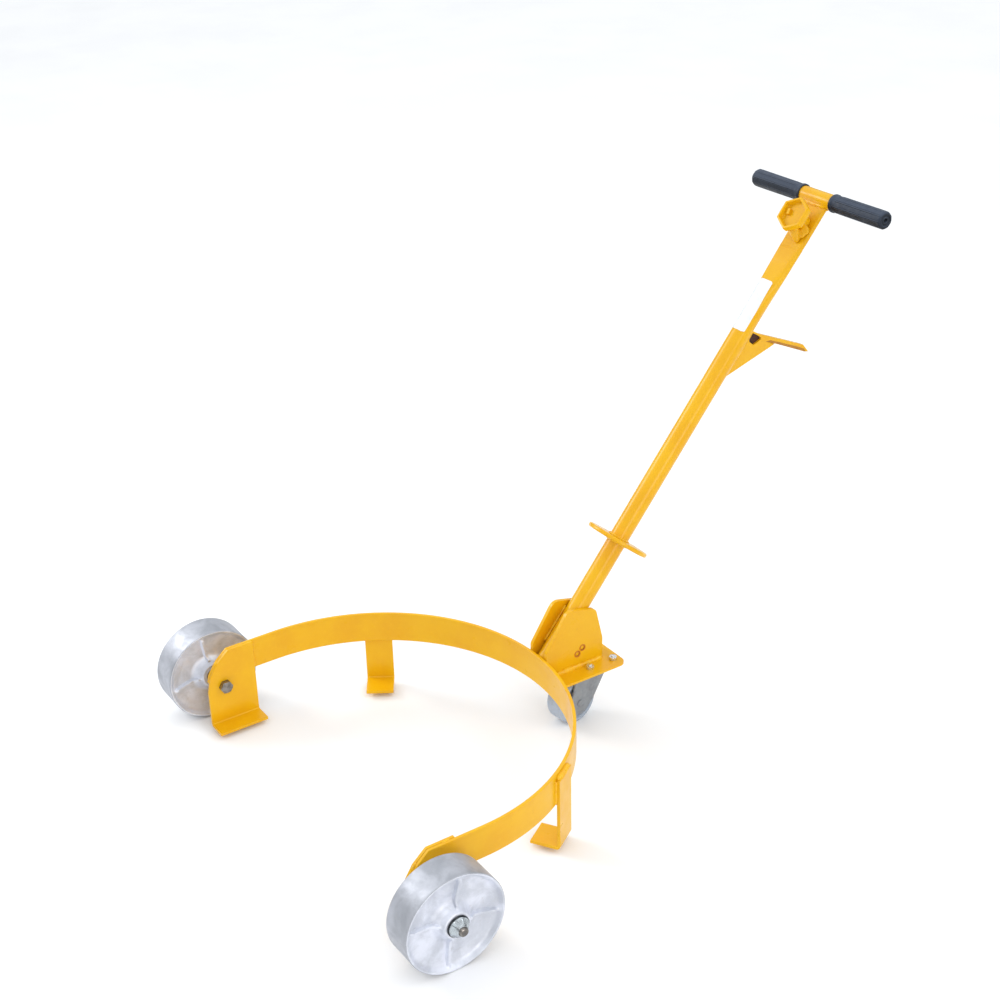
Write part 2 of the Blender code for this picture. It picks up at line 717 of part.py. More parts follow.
def blank_label():
    """A blank sticker, bent round the front of the tube."""
    stations = tube_stations(*LABEL_ALONG, 5)
    rings = []
    for lift in (0.00035, 0.0006):
        strip = []
        for along in stations:
            width, thickness = tube_section(along)
            ring = on_tube(oval(width + 2 * lift, thickness + 2 * lift, 0), along)
            strip.append(ring[2:RING_POINTS // 2 - 2])
        rings.append(strip)
    under, over = rings
    solid = bmesh.new()
    low = [[solid.verts.new(point) for point in row] for row in under]
    high = [[solid.verts.new(point) for point in row] for row in over]
    rows, columns = len(low), len(low[0])
    for row in range(rows - 1):
        for column in range(columns - 1):
            next_row, next_column = row + 1, column + 1
            for grid, flip in ((high, False), (low, True)):
                here, there = grid[row], grid[next_row]
                corners = [here[column], here[next_column], there[next_column], there[column]]
                solid.faces.new(corners[::-1] if flip else corners)
    border = [(0, column) for column in range(columns)]
    border += [(row, columns - 1) for row in range(1, rows)]
    border += [(rows - 1, column) for column in range(columns - 2, -1, -1)]
    border += [(row, 0) for row in range(rows - 2, 0, -1)]
    for (row, column), (next_row, next_column) in zip(border, border[1:] + border[:1]):
        foot = (low[row][column], low[next_row][next_column])
        solid.faces.new(foot + (high[next_row][next_column], high[row][column]))
    bmesh.ops.recalc_face_normals(solid, faces=solid.faces)
    mesh = bpy.data.meshes.new("blank_label")
    solid.to_mesh(mesh)
    solid.free()
    shade(mesh)
    add_object("blank_label", mesh, PAPER, on_handle(0))


def build():
    drum_band()
    lift_strap("lift_strap_right", STRAP_ANGLE)
    lift_strap("lift_strap_left", math.pi - STRAP_ANGLE)
    for side, word in ((-1, "left"), (1, "right")):
        wheel_bracket("wheel_bracket_" + word, side)
        axle(side, word)
        wheel(side, word)
        gusset("gusset_" + word, side)
    rear_plate()
    caster()
    mount_fasteners()
    handle_tube()
    crossbar()
    step_disc()
    bung_wrench()
    seal_remover()
    blank_label()


clear_scene()
parts = collection("drum_dolly", rendered=True)
cutters = collection("cutters", rendered=False)
build()
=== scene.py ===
"""The finished look of the drum dolly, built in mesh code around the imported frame.

Every visible CAD node is replaced by a finer piece with rolled edges, threads, flutes, weld beads and a
procedural material. Places and sizes are in metres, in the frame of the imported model: +X along the wheels'
axle, +Y from the drum towards the handle, +Z up.
"""

import math

import bmesh
import bpy
from mathutils import Matrix, Vector, noise


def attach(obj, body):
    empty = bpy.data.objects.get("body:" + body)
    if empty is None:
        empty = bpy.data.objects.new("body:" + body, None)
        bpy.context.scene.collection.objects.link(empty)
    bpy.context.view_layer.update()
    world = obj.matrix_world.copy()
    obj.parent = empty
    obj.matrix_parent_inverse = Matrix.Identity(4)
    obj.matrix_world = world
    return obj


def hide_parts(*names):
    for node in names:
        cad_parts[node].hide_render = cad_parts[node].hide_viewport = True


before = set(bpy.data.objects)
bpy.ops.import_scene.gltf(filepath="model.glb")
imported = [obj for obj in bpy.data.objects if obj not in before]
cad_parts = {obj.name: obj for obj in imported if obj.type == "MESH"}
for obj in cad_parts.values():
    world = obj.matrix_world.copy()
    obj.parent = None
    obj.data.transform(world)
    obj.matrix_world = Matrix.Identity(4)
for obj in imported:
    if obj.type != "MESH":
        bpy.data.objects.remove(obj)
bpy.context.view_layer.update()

# The drum's axis and the gaps between touching pieces
DRUM_Y = -0.337
GAP = 0.0003
PLATE = 0.005

# Band, straps and brackets
BAND_RADIUS = 0.3032
BAND_BOTTOM = 0.0867
BAND_HEIGHT = 0.0508
BAND_TOP = BAND_BOTTOM + BAND_HEIGHT
BAND_LEG_END = DRUM_Y - 0.122
LIP_TOP = 0.0125
LIP_BOTTOM = LIP_TOP - PLATE
LIP_INNER = 0.262
STRAP_ANGLE = math.radians(32.8)
STRAP_WIDTH = 0.0445
STRAP_TOP = 0.128
STRAP_OUTER = BAND_RADIUS + GAP + PLATE
BRACKET_OUTER = BAND_RADIUS - PLATE - GAP
BRACKET_REAR = DRUM_Y - 0.041
BRACKET_FRONT = DRUM_Y - 0.124

# Main wheels
AXLE_Y = DRUM_Y - 0.0955
WHEEL_RADIUS = 0.0762
WHEEL_WIDTH = 0.050
WHEEL_X = 0.3581
RIM_INNER = 0.0750
HUB_LENGTH = 0.056
HUB_BORE = 0.0130
BOLT_RADIUS = 0.00635
BOLT_TIP = 0.4030
BOLT_PITCH = 0.00195
BOLT_HEAD = 0.0080
BOLT_CORNER = 0.0109
THREAD_START = 0.3812
SPACER_RADIUS = 0.0095
WASHER_RADIUS = 0.0165
WASHER_THICKNESS = 0.0022
NUT_HEIGHT = 0.0100

# Rear plate and caster
MOUNT_PLATE = 0.004
GUSSET_PLATE = 0.006
PLATE_TOP = 0.104
PLATE_BOTTOM = PLATE_TOP - MOUNT_PLATE
PLATE_HALF_WIDTH = 0.0545
PLATE_FRONT = DRUM_Y + 0.3045
PLATE_REAR = DRUM_Y + 0.4335
GUSSET_REAR = DRUM_Y + 0.4100
KING_Y = DRUM_Y + 0.3977
MOUNT_X = 0.0365
MOUNT_Y = 0.02225
MOUNT_BOLT = 0.003
MOUNT_HEX = 0.0058
MOUNT_NUT = 0.0052
CASTER_TRAIL = 0.0370
CASTER_SWIVEL = math.radians(8)
CASTER_RADIUS = 0.038
CASTER_WIDTH = 0.032
CASTER_AXLE_Y = KING_Y - CASTER_TRAIL
TOP_PLATE_HIGH = PLATE_BOTTOM - GAP
TOP_PLATE_LOW = TOP_PLATE_HIGH - 0.0028
TOP_PLATE_HALF = (0.0475, 0.032)
KING_PIN = 0.005
FORK_TOP = 0.088
FORK_HALF_WIDTH = 0.0215
FORK_SHEET = 0.003
FORK_HOLE_RADIUS = 0.0043

# Handle
HANDLE_ANGLE = math.radians(50.8)
HANDLE_FOOT_Y = DRUM_Y + 0.2186
TUBE_RADIUS = 0.0151
TUBE_WALL = 0.0026
TUBE_START = 0.1550
PRESSED = (0.775, 0.866, 0.905)  # along the tube: where it starts to flatten, is flat, and is flattest
TUBE_WIDENED = 0.0113
TUBE_THINNED = 0.0182
TUBE_FLATTEST = 0.0035  # the last bit of each, up to the crossbar
CREASE_ALONG = 0.879  # where the press has left a curved crease across the flattened tube
CREASE_BOW = 0.011
CREASE_DEPTH = 0.0007
CROSSBAR_Y = DRUM_Y + 0.8317
CROSSBAR_Z = 0.7567
CROSSBAR_RADIUS = 0.0117
CROSSBAR_WALL = 0.0024
CROSSBAR_HALF_LENGTH = 0.134
GRIP_INNER_X = 0.032
GRIP_OUTER_X = 0.1385
GRIP_RADIUS = 0.0134
GRIP_COLLAR = 0.0141
GRIP_FLATS = 9
DISC_ALONG = 0.374
DISC_PLATE = 0.0068
DISC_RADIUS = 0.0508
WRENCH_ALONG = 0.9308
WRENCH_HEIGHT = 0.038
WRENCH_CORNER = 0.0274
LABEL_ALONG = (0.7415, 0.829)
LABEL_HALF_WIDTH = 0.0129
REMOVER_PLATE = 0.008

SMOOTH_ANGLE = math.radians(34)
WELD_RIPPLE = 0.0026  # the length of one half-moon along a weld bead
SMOOTH_RIPPLE = 0.0120  # the same along a bead that was laid slowly
EDGE_ROUND = 0.0007  # how far the plates' sawn edges are rounded
BAR_EDGE = 0.0009  # how far the flat bar's rolled edges are rounded


# ---------------------------------------------------------------- places


def axes(x_axis, y_axis, origin):
    """The matrix of a piece whose own X and Y point along two directions of the frame."""
    x_axis, y_axis = Vector(x_axis), Vector(y_axis)
    turn = Matrix((x_axis, y_axis, x_axis.cross(y_axis))).transposed().to_4x4()
    return Matrix.Translation(origin) @ turn


def upright(origin=(0, 0, 0)):
    return axes((1, 0, 0), (0, 1, 0), origin)


def sideways(origin=(0, 0, 0)):
    """Its own X and Y are the frame's Y and Z, so its own Z runs along the axle."""
    return axes((0, 1, 0), (0, 0, 1), origin)


def on_handle(along, height=0.0):
    """Its own X is the frame's, its own Y runs up the tube and its own Z out of the tube's front."""
    up = Vector((0, math.cos(HANDLE_ANGLE), math.sin(HANDLE_ANGLE)))
    out = Vector((1, 0, 0)).cross(up)
    foot = Vector((0, HANDLE_FOOT_Y, 0))
    return axes((1, 0, 0), up, foot + up * along + out * height)


def on_caster(matrix):
    """Turns a place in the straight caster to the way that the caster stands."""
    pivot = Matrix.Translation((0, KING_Y, 0))
    return pivot @ Matrix.Rotation(CASTER_SWIVEL, 4, "Z") @ pivot.inverted() @ matrix


# ---------------------------------------------------------------- materials


class Look:
    """A small helper that lays out one procedural material."""

    def __init__(self, name):
        self.material = bpy.data.materials.new(name)
        self.material.use_nodes = True
        self.tree = self.material.node_tree
        self.shader = self.tree.nodes["Principled BSDF"]
        self.place = self.add("ShaderNodeTexCoord").outputs["Object"]

    def add(self, kind, inputs=None, **settings):
        node = self.tree.nodes.new(kind)
        for key, value in settings.items():
            setattr(node, key, value)
        for key, value in (inputs or {}).items():
            if isinstance(value, bpy.types.NodeSocket):
                self.tree.links.new(value, node.inputs[key])
            else:
                node.inputs[key].default_value = value
        return node

    def noise(self, scale, detail=3.0, roughness=0.55, distortion=0.0, place=None):
        """Noise of so many blotches a metre, from 0 to 1."""
        values = {"Vector": place or self.place, "Scale": scale, "Detail": detail}
        values.update({"Roughness": roughness, "Distortion": distortion})
        return self.add("ShaderNodeTexNoise", values).outputs["Fac"]

    def stretched(self, x, y, z):
        values = {"Vector": self.place, "Scale": (x, y, z)}
        return self.add("ShaderNodeMapping", values).outputs["Vector"]

    def steps(self, value, low, high, at_low=0.0, at_high=1.0):
        """A value mapped smoothly from low..high to at_low..at_high, and held outside."""
        values = {"Value": value, "From Min": low, "From Max": high, "To Min": at_low, "To Max": at_high}
        node = self.add("ShaderNodeMapRange", values, interpolation_type="SMOOTHSTEP")
        return node.outputs["Result"]

    def maths(self, operation, first, second):
        return self.add("ShaderNodeMath", {0: first, 1: second}, operation=operation).outputs[0]

    def mix(self, share, first, second):
        """Two colours mixed by a share from 0 to 1."""
        node = self.add("ShaderNodeMix", data_type="RGBA")
        for key, value in ((0, share), (6, first), (7, second)):
            if isinstance(value, bpy.types.NodeSocket):
                self.tree.links.new(value, node.inputs[key])
            else:
                node.inputs[key].default_value = (*value, 1) if key else value
        return node.outputs[2]

    def mottle(self, grain, low, high, light, dark):
        """Two colours in soft blotches. The grain is what noise() takes."""
        return self.mix(self.steps(self.noise(*grain), low, high), light, dark)

    def flecks(self, colour, grain, low, high, share, fleck):
        """A colour with flecks of another over it, at most so strong."""
        return self.mix(self.steps(self.noise(*grain), low, high, 0.0, share), colour, fleck)

    def wander(self, scale, detail, low, high):
        """A value that drifts between two others over the surface."""
        return self.steps(self.noise(scale, detail), 0.30, 0.70, low, high)

    def edges(self, width):
        """1 on convex and concave edges and 0 on flats, from how far a bevelled normal turns."""
        round_normal = self.add("ShaderNodeBevel", {"Radius": width}, samples=4).outputs["Normal"]
        flat_normal = self.add("ShaderNodeNewGeometry").outputs["Normal"]
        values = {0: round_normal, 1: flat_normal}
        dot = self.add("ShaderNodeVectorMath", values, operation="DOT_PRODUCT").outputs["Value"]
        return self.maths("SUBTRACT", 1.0, dot)

    def bump(self, *layers):
        """Bumps of (height, depth in metres), one on top of the other."""
        normal = None
        for height, depth in layers:
            values = {"Height": height, "Distance": depth, "Strength": 1.0}
            if normal:
                values["Normal"] = normal
            normal = self.add("ShaderNodeBump", values).outputs["Normal"]
        return normal

    def use(self, colour, roughness, normal, **plain):
        """Wires up the shader. The plain values are the same all over."""
        for key, value in (("Base Color", colour), ("Roughness", roughness), ("Normal", normal)):
            if isinstance(value, bpy.types.NodeSocket):
                self.tree.links.new(value, self.shader.inputs[key])
        for key, value in plain.items():
            self.shader.inputs[key.replace("_", " ")].default_value = value
        return self.material


def yellow_paint():
    """Semi-gloss safety yellow, sprayed on rolled and sawn steel, with orange peel and small edge chips."""
    look = Look("yellow_paint")
    colour = look.mottle((14, 4), 0.36, 0.66, (0.800, 0.440, 0.003), (0.765, 0.390, 0.003))
    colour = look.flecks(colour, (160, 3), 0.52, 0.78, 0.30, (0.850, 0.500, 0.010))
    edge = look.steps(look.edges(0.0016), 0.05, 0.28)
    chips = look.maths("MULTIPLY", edge, look.steps(look.noise(210, 5, 0.7), 0.57, 0.66))
    colour = look.mix(look.maths("MULTIPLY", chips, 0.55), colour, (0.36, 0.15, 0.030))
    scuff = look.steps(look.noise(60, 6, 0.75, 0.6), 0.60, 0.74)
    colour = look.mix(look.maths("MULTIPLY", scuff, 0.18), colour, (0.52, 0.24, 0.03))
    roughness = look.maths("ADD", look.wander(34, 4, 0.27, 0.44), look.maths("MULTIPLY", scuff, 0.16))
    normal = look.bump((look.noise(520, 2), 0.00011), (look.noise(48, 3), 0.00030), (chips, -0.00012))
    gloss = {"Specular_IOR_Level": 0.12, "Coat_Weight": 0.42, "Coat_Roughness": 0.24}
    return look.use(colour, roughness, normal, **gloss)


def weld_paint():
    """Yellow over a weld bead, in blotches of random tone but lighter overall than the plates, the lighter
    yellow a painted highlight; its bumps show the ripples.
    """
    look = Look("yellow_paint_weld_highlight")
    # The lighter yellow is a painted highlight
    colour = look.mottle((90, 4), 0.35, 0.70, (0.860, 0.500, 0.010), (0.780, 0.385, 0.006))
    normal = look.bump((look.noise(420, 3), 0.00022), (look.noise(1100, 2), 0.00008))
    gloss = {"Specular_IOR_Level": 0.25, "Coat_Weight": 0.30, "Coat_Roughness": 0.20}
    return look.use(colour, look.wander(120, 3, 0.22, 0.36), normal, **gloss)


def shade_patch(name, light, dark, roughness):
    """A darker patch of the yellow, blotchy, with brushed scratches; each use of it here is painted shade.
    """
    look = Look(name)
    colour = look.mottle((120, 5, 0.65), 0.36, 0.66, light, dark)
    scratches = look.noise(700, 3, 0.6, place=look.stretched(1, 0.2, 1))
    rough = look.steps(scratches, 0.30, 0.70, roughness - 0.08, roughness + 0.10)
    normal = look.bump((scratches, 0.00006), (look.noise(160, 3), 0.00016))
    return look.use(colour, rough, normal, Specular_IOR_Level=0.3)


def cast_metal(name, shade):
    """A light grey casting: sand-cast grain, cloudy patches and a little dirt worked in, its colours scaled
    by shade; a shade below 1 is painted shade.
    """
    light, dark, grain = [[shade * part for part in colour] for colour in CASTING]
    look = Look(name)
    colour = look.mottle((26, 5, 0.6, 0.4), 0.34, 0.66, light, dark)
    colour = look.flecks(colour, (480, 4, 0.65), 0.55, 0.80, 0.35, grain)
    colour = look.flecks(colour, (70, 6, 0.7, 0.5), 0.56, 0.76, 0.30, (0.42, 0.41, 0.40))
    normal = look.bump((look.noise(700, 4, 0.6), 0.00014), (look.noise(90, 3), 0.00040))
    return look.use(colour, look.wander(60, 4, 0.44, 0.60), normal, Metallic=0.62)


def bright_zinc(name, light, dark, roughness_low, roughness_high):
    """Plated steel with a faint cloudy passivation and fine turning marks."""
    look = Look(name)
    colour = look.mottle((130, 4, 0.6, 0.8), 0.36, 0.66, light, dark)
    colour = look.flecks(colour, (60, 3), 0.50, 0.75, 0.25, (0.60, 0.56, 0.47))
    marks = look.noise(900, 3, 0.6, place=look.stretched(1, 1, 0.12))
    roughness = look.steps(marks, 0.30, 0.70, roughness_low, roughness_high)
    normal = look.bump((marks, 0.00001), (look.noise(240, 3), 0.00002))
    return look.use(colour, roughness, normal, Metallic=0.92)


def pressed_steel():
    """The caster's dull plated sheet, with draw lines and a mottled grey."""
    look = Look("caster_zinc")
    colour = look.mottle((45, 5, 0.6), 0.34, 0.68, (0.285, 0.30, 0.315), (0.225, 0.235, 0.25))
    spangle = look.add("ShaderNodeTexVoronoi", {"Vector": look.place, "Scale": 190.0}).outputs["Color"]
    tone = look.add("ShaderNodeSeparateColor", {"Color": spangle}).outputs[0]
    colour = look.mix(look.steps(tone, 0.0, 1.0, 0.0, 0.22), colour, (0.40, 0.42, 0.44))
    lines = look.noise(300, 3, 0.6, place=look.stretched(1, 1, 0.15))
    roughness = look.steps(lines, 0.30, 0.70, 0.38, 0.55)
    normal = look.bump((lines, 0.00005), (look.noise(70, 3), 0.00020))
    return look.use(colour, roughness, normal, Metallic=0.6)


def hard_tread():
    """The caster wheel's moulded pale plastic, with handling dirt."""
    look = Look("caster_tread")
    colour = look.mottle((40, 4), 0.36, 0.66, (0.40, 0.46, 0.55), (0.33, 0.38, 0.45))
    colour = look.flecks(colour, (160, 5, 0.7), 0.55, 0.75, 0.45, (0.20, 0.21, 0.22))
    normal = look.bump((look.noise(500, 3), 0.00009), (look.noise(60, 3), 0.00020))
    return look.use(colour, look.wander(120, 3, 0.38, 0.55), normal)


def soft_grip():
    """Dark slate vinyl with a fine moulded grain, lighter where it faces up and near-black where it faces
    down: painted light above, painted shade below.
    """
    look = Look("grip_rubber")
    facing = look.add("ShaderNodeNewGeometry").outputs["Normal"]
    upward = look.add("ShaderNodeSeparateXYZ", {"Vector": facing}).outputs["Z"]
    # Painted light and painted shade: near-black on faces that point down, lighter slate on faces that point
    # up
    colour = look.mix(look.steps(upward, -0.35, 0.95), (0.004, 0.006, 0.010), (0.058, 0.074, 0.108))
    colour = look.flecks(colour, (55, 5, 0.65), 0.42, 0.72, 0.4, (0.034, 0.046, 0.070))
    colour = look.flecks(colour, (420, 4, 0.7), 0.62, 0.78, 0.3, (0.070, 0.085, 0.115))
    normal = look.bump((look.noise(1600, 3, 0.6), 0.00004), (look.noise(200, 3), 0.00010))
    return look.use(colour, look.wander(150, 4, 0.36, 0.50), normal, Specular_IOR_Level=0.18)


def bronze():
    look = Look("bush_bronze")
    colour = look.mottle((160, 4), 0.35, 0.68, (0.42, 0.25, 0.10), (0.24, 0.15, 0.07))
    normal = look.bump((look.noise(1400, 4, 0.7), 0.00005))
    return look.use(colour, look.wander(300, 3, 0.30, 0.48), normal, Metallic=0.9)


def label_film():
    """A blank white vinyl sticker, faintly rippled and a little grubby."""
    look = Look("label_film")
    colour = look.mottle((70, 5, 0.7), 0.45, 0.75, (0.85, 0.88, 0.90), (0.76, 0.79, 0.81))
    normal = look.bump((look.noise(120, 3), 0.00012), (look.noise(1500, 2), 0.00002))
    return look.use(colour, look.wander(90, 3, 0.22, 0.36), normal, Coat_Weight=0.3, Coat_Roughness=0.15)


def pale_floor():
    look = Look("pale_floor")
    colour = look.mottle((2.5, 3), 0.35, 0.70, (0.93, 0.93, 0.93), (0.90, 0.90, 0.905))
    return look.use(colour, look.wander(8, 3, 0.62, 0.78), look.bump((look.noise(300, 3), 0.00010)))


# A casting's light and dark patches, and its bright grains
CASTING = ((0.785, 0.81, 0.89), (0.58, 0.605, 0.665), (0.84, 0.865, 0.92))

# A look's name starts with its slot's name in the record
YELLOW = yellow_paint()
WELD = weld_paint()
# Darker orange-brown for the rings round the gussets' holes: painted shade
MARK_SHADE = shade_patch("yellow_paint_mark_shade", (0.58, 0.20, 0.008), (0.44, 0.13, 0.006), 0.40)
# Darker yellow-brown for the pry plate's bevel: painted shade
BEVEL_SHADE = shade_patch("yellow_paint_bevel_shade", (0.48, 0.215, 0.012), (0.36, 0.140, 0.010), 0.42)
# Near-black for the sheet behind the notch: painted shade
NOTCH_SHADE = shade_patch("yellow_paint_notch_shade", (0.085, 0.026, 0.010), (0.030, 0.010, 0.010), 0.60)
CAST = cast_metal("wheel_cast", 1.0)
# The same casting darkened to 0.62 for the tread: painted shade
CAST_TREAD_SHADE = cast_metal("wheel_cast_tread_shade", 0.62)
ZINC = bright_zinc("zinc_hardware", (0.82, 0.85, 0.87), (0.62, 0.65, 0.68), 0.16, 0.32)
NUT_STEEL = bright_zinc("zinc_hardware_nut", (0.50, 0.55, 0.58), (0.33, 0.35, 0.37), 0.18, 0.34)
BOLT_STEEL = bright_zinc("zinc_hardware_bolt", (0.30, 0.28, 0.26), (0.15, 0.14, 0.13), 0.26, 0.44)
# Near-black for the wheels' washers: painted shade for the dark gap round the nuts
WASHER_SHADE = bright_zinc("zinc_hardware_shade", (0.050, 0.055, 0.065), (0.022, 0.024, 0.028), 0.34, 0.50)
FORK = pressed_steel()
TREAD = hard_tread()
RUBBER = soft_grip()
BRONZE = bronze()
PAPER = label_film()


# ---------------------------------------------------------------- mesh helpers


def add_object(name, data):
    obj = bpy.data.objects.new(name, data)
    bpy.context.scene.collection.objects.link(obj)
    return obj


def evaluated(obj):
    """The mesh that an object's curve or modifiers make."""
    bpy.context.view_layer.update()
    return bpy.data.meshes.new_from_object(obj.evaluated_get(bpy.context.evaluated_depsgraph_get()))


def mesh_from(solid, name):
    mesh = bpy.data.meshes.new(name)
    solid.to_mesh(mesh)
    solid.free()
    return mesh


def finish_piece(name, mesh, matrix, look, nodes=(), body="chassis"):
    """Makes the mesh a piece of the object: smooth with sharp creases, riding on its body."""
    mesh.shade_smooth()
    mesh.set_sharp_from_angle(angle=SMOOTH_ANGLE)
    mesh.materials.append(look)
    obj = add_object(name, mesh)
    obj.matrix_world = matrix
    if nodes:
        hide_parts(*nodes)
    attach(obj, body)
    return obj


def rounded(corners, steps=8):
    """The outline through corners given as (x, y, radius), with each corner rounded."""
    points = []
    for index, (x, y, radius) in enumerate(corners):
        here = Vector((x, y))
        if radius == 0:
            points.append(tuple(here))
            continue
        back = (Vector(corners[index - 1][:2]) - here).normalized()
        ahead = (Vector(corners[(index + 1) % len(corners)][:2]) - here).normalized()
        half = back.angle(ahead) / 2
        centre = here + (back + ahead).normalized() * radius / math.sin(half)
        start = here + back * radius / math.tan(half) - centre
        end = here + ahead * radius / math.tan(half) - centre
        turn = start.angle_signed(end)
        for step in range(steps + 1):
            points.append(tuple(centre + Matrix.Rotation(-turn * step / steps, 2) @ start))
    return points


def arc(centre, radius, start, end, steps):
    points = []
    for step in range(steps + 1):
        angle = math.radians(start + (end - start) * step / steps)
        points.append((centre[0] + radius * math.cos(angle), centre[1] + radius * math.sin(angle)))
    return points


def round_hole(centre, radius, steps=40):
    return arc(centre, radius, 0, 360, steps)[:-1]


def flat_solid(outlines, thickness, matrix):
    """The mesh of a flat plate in the frame: the first outline is its rim, the rest are its holes."""
    curve = bpy.data.curves.new("outline", "CURVE")
    curve.dimensions = "2D"
    curve.fill_mode = "BOTH"
    curve.extrude = thickness / 2
    for outline in outlines:
        spline = curve.splines.new("POLY")
        spline.points.add(len(outline) - 1)
        spline.use_cyclic_u = True
        for point, (x, y) in zip(spline.points, outline):
            point.co = (x, y, 0, 1)
    obj = add_object("outline", curve)
    mesh = evaluated(obj)
    bpy.data.objects.remove(obj, do_unlink=True)
    bpy.data.curves.remove(curve)
    solid = bmesh.new()
    solid.from_mesh(mesh)
    bmesh.ops.remove_doubles(solid, verts=solid.verts, dist=1e-6)
    solid.to_mesh(mesh)
    solid.free()
    mesh.transform(matrix)
    return mesh


def trimmed(mesh, cutter, operation="INTERSECT"):
    """The mesh cut or trimmed by another one."""
    pair = [add_object("trim", part) for part in (mesh, cutter)]
    modifier = pair[0].modifiers.new("Trim", "BOOLEAN")
    modifier.operation = operation
    modifier.object = pair[1]
    modifier.solver = "EXACT"
    made = evaluated(pair[0])
    for obj in pair:
        bpy.data.objects.remove(obj, do_unlink=True)
    return made


def blended(lumps, grain, passes):
    """Overlapping lumps run together into one soft-cornered casting."""
    solid = bmesh.new()
    for lump in lumps:
        solid.from_mesh(lump)
    obj = add_object("casting", mesh_from(solid, "casting"))
    remesh = obj.modifiers.new("Grain", "REMESH")
    remesh.mode = "VOXEL"
    remesh.voxel_size = grain
    smooth = obj.modifiers.new("Soft", "SMOOTH")
    smooth.factor = 0.5
    smooth.iterations = passes
    made = evaluated(obj)
    bpy.data.objects.remove(obj, do_unlink=True)
    return made


def merged_flats(mesh):
    """Joins the triangles of each flat face, so that a bevel runs only along real edges."""
    solid = bmesh.new()
    solid.from_mesh(mesh)
    bmesh.ops.remove_doubles(solid, verts=solid.verts, dist=2e-6)
    limit = math.radians(0.4)
    bmesh.ops.dissolve_limit(solid, angle_limit=limit, verts=solid.verts, edges=solid.edges)
    bmesh.ops.recalc_face_normals(solid, faces=solid.faces)
    solid.to_mesh(mesh)
    solid.free()
    return mesh


def plate_piece(name, mesh, look, nodes, body="chassis", width=EDGE_ROUND):
    """A plate with rounded edges."""
    obj = finish_piece(name, merged_flats(mesh), Matrix.Identity(4), look, nodes, body)
    bevel = obj.modifiers.new("Edges", "BEVEL")
    bevel.width = width
    bevel.segments = 3
    bevel.limit_method = "ANGLE"
    bevel.angle_limit = math.radians(40)
    bevel.harden_normals = True
    bevel.use_clamp_overlap = True
    return obj


def repaint(obj, look, test):
    """Gives the faces that pass the test a second look."""
    obj.data.materials.append(look)
    for face in obj.data.polygons:
        if test(face):
            face.material_index = 1


def skin(rings, closed=False):
    """A mesh through rings of the same number of points, capped, or joined into a loop."""
    solid = bmesh.new()
    loops = [[solid.verts.new(point) for point in ring] for ring in rings]
    pairs = list(zip(loops, loops[1:]))
    if closed:
        pairs.append((loops[-1], loops[0]))
    else:
        solid.faces.new(list(reversed(loops[0])))
        solid.faces.new(loops[-1])
    count = len(rings[0])
    for low, high in pairs:
        for index in range(count):
            after = (index + 1) % count
            solid.faces.new((low[index], low[after], high[after], high[index]))
    bmesh.ops.recalc_face_normals(solid, faces=solid.faces)
    return mesh_from(solid, "skin")


def ring_of(radius, height, count):
    """A ring round Z. The radius is a number, or a function of the angle."""
    points = []
    for index in range(count):
        angle = 2 * math.pi * index / count
        reach = radius(angle) if callable(radius) else radius
        points.append((reach * math.cos(angle), reach * math.sin(angle), height))
    return points


def turned(profile, count=96, closed=True):
    """A profile of (radius, height) turned round Z. A closed one is a ring, an open one is capped."""
    return skin([ring_of(radius, height, count) for radius, height in profile], closed)


def hex_radius(corner, lead=0.0):
    """The radius of a hexagon at an angle, from its centre-to-corner radius."""

    def reach(angle):
        from_flat = (math.degrees(angle) - lead) % 60 - 30
        return corner * math.cos(math.radians(30)) / math.cos(math.radians(from_flat))

    return reach


def lesser(shape, limit):
    """A radius by angle, held to a limit."""
    return lambda angle: min(shape(angle), limit)


def hex_rings(corner, low, high, chamfer, count):
    """The rings of a hexagonal prism whose corners are turned off to a cone at its ends."""
    shape = hex_radius(corner)
    flat = corner * math.cos(math.radians(30))
    start = flat * 0.98
    slope = 0.55
    levels = [step / 5 for step in range(6)]
    rings = [(low + chamfer * share, start + chamfer * share / slope) for share in levels]
    rings += [(high - chamfer * share, start + chamfer * share / slope) for share in reversed(levels)]
    made = []
    for height, limit in rings:
        made.append(ring_of(lesser(shape, limit), height, count))
    return made


def thread_rings(radius, depth, pitch, low, high, count):
    """The rings of a screw thread between two heights, fading out at both ends."""
    rings = []
    rows = max(8, int((high - low) / pitch * 9))
    for row in range(rows + 1):
        height = low + (high - low) * row / rows
        fade = min(1.0, (height - low) / (0.6 * pitch), (high - height) / (0.4 * pitch))

        def reach(angle, height=height, fade=max(0.0, fade)):
            turn = (height / pitch - angle / (2 * math.pi)) % 1.0
            return radius - depth * fade * (0.5 + 0.5 * math.cos(2 * math.pi * turn))

        rings.append(ring_of(reach, height, count))
    return rings


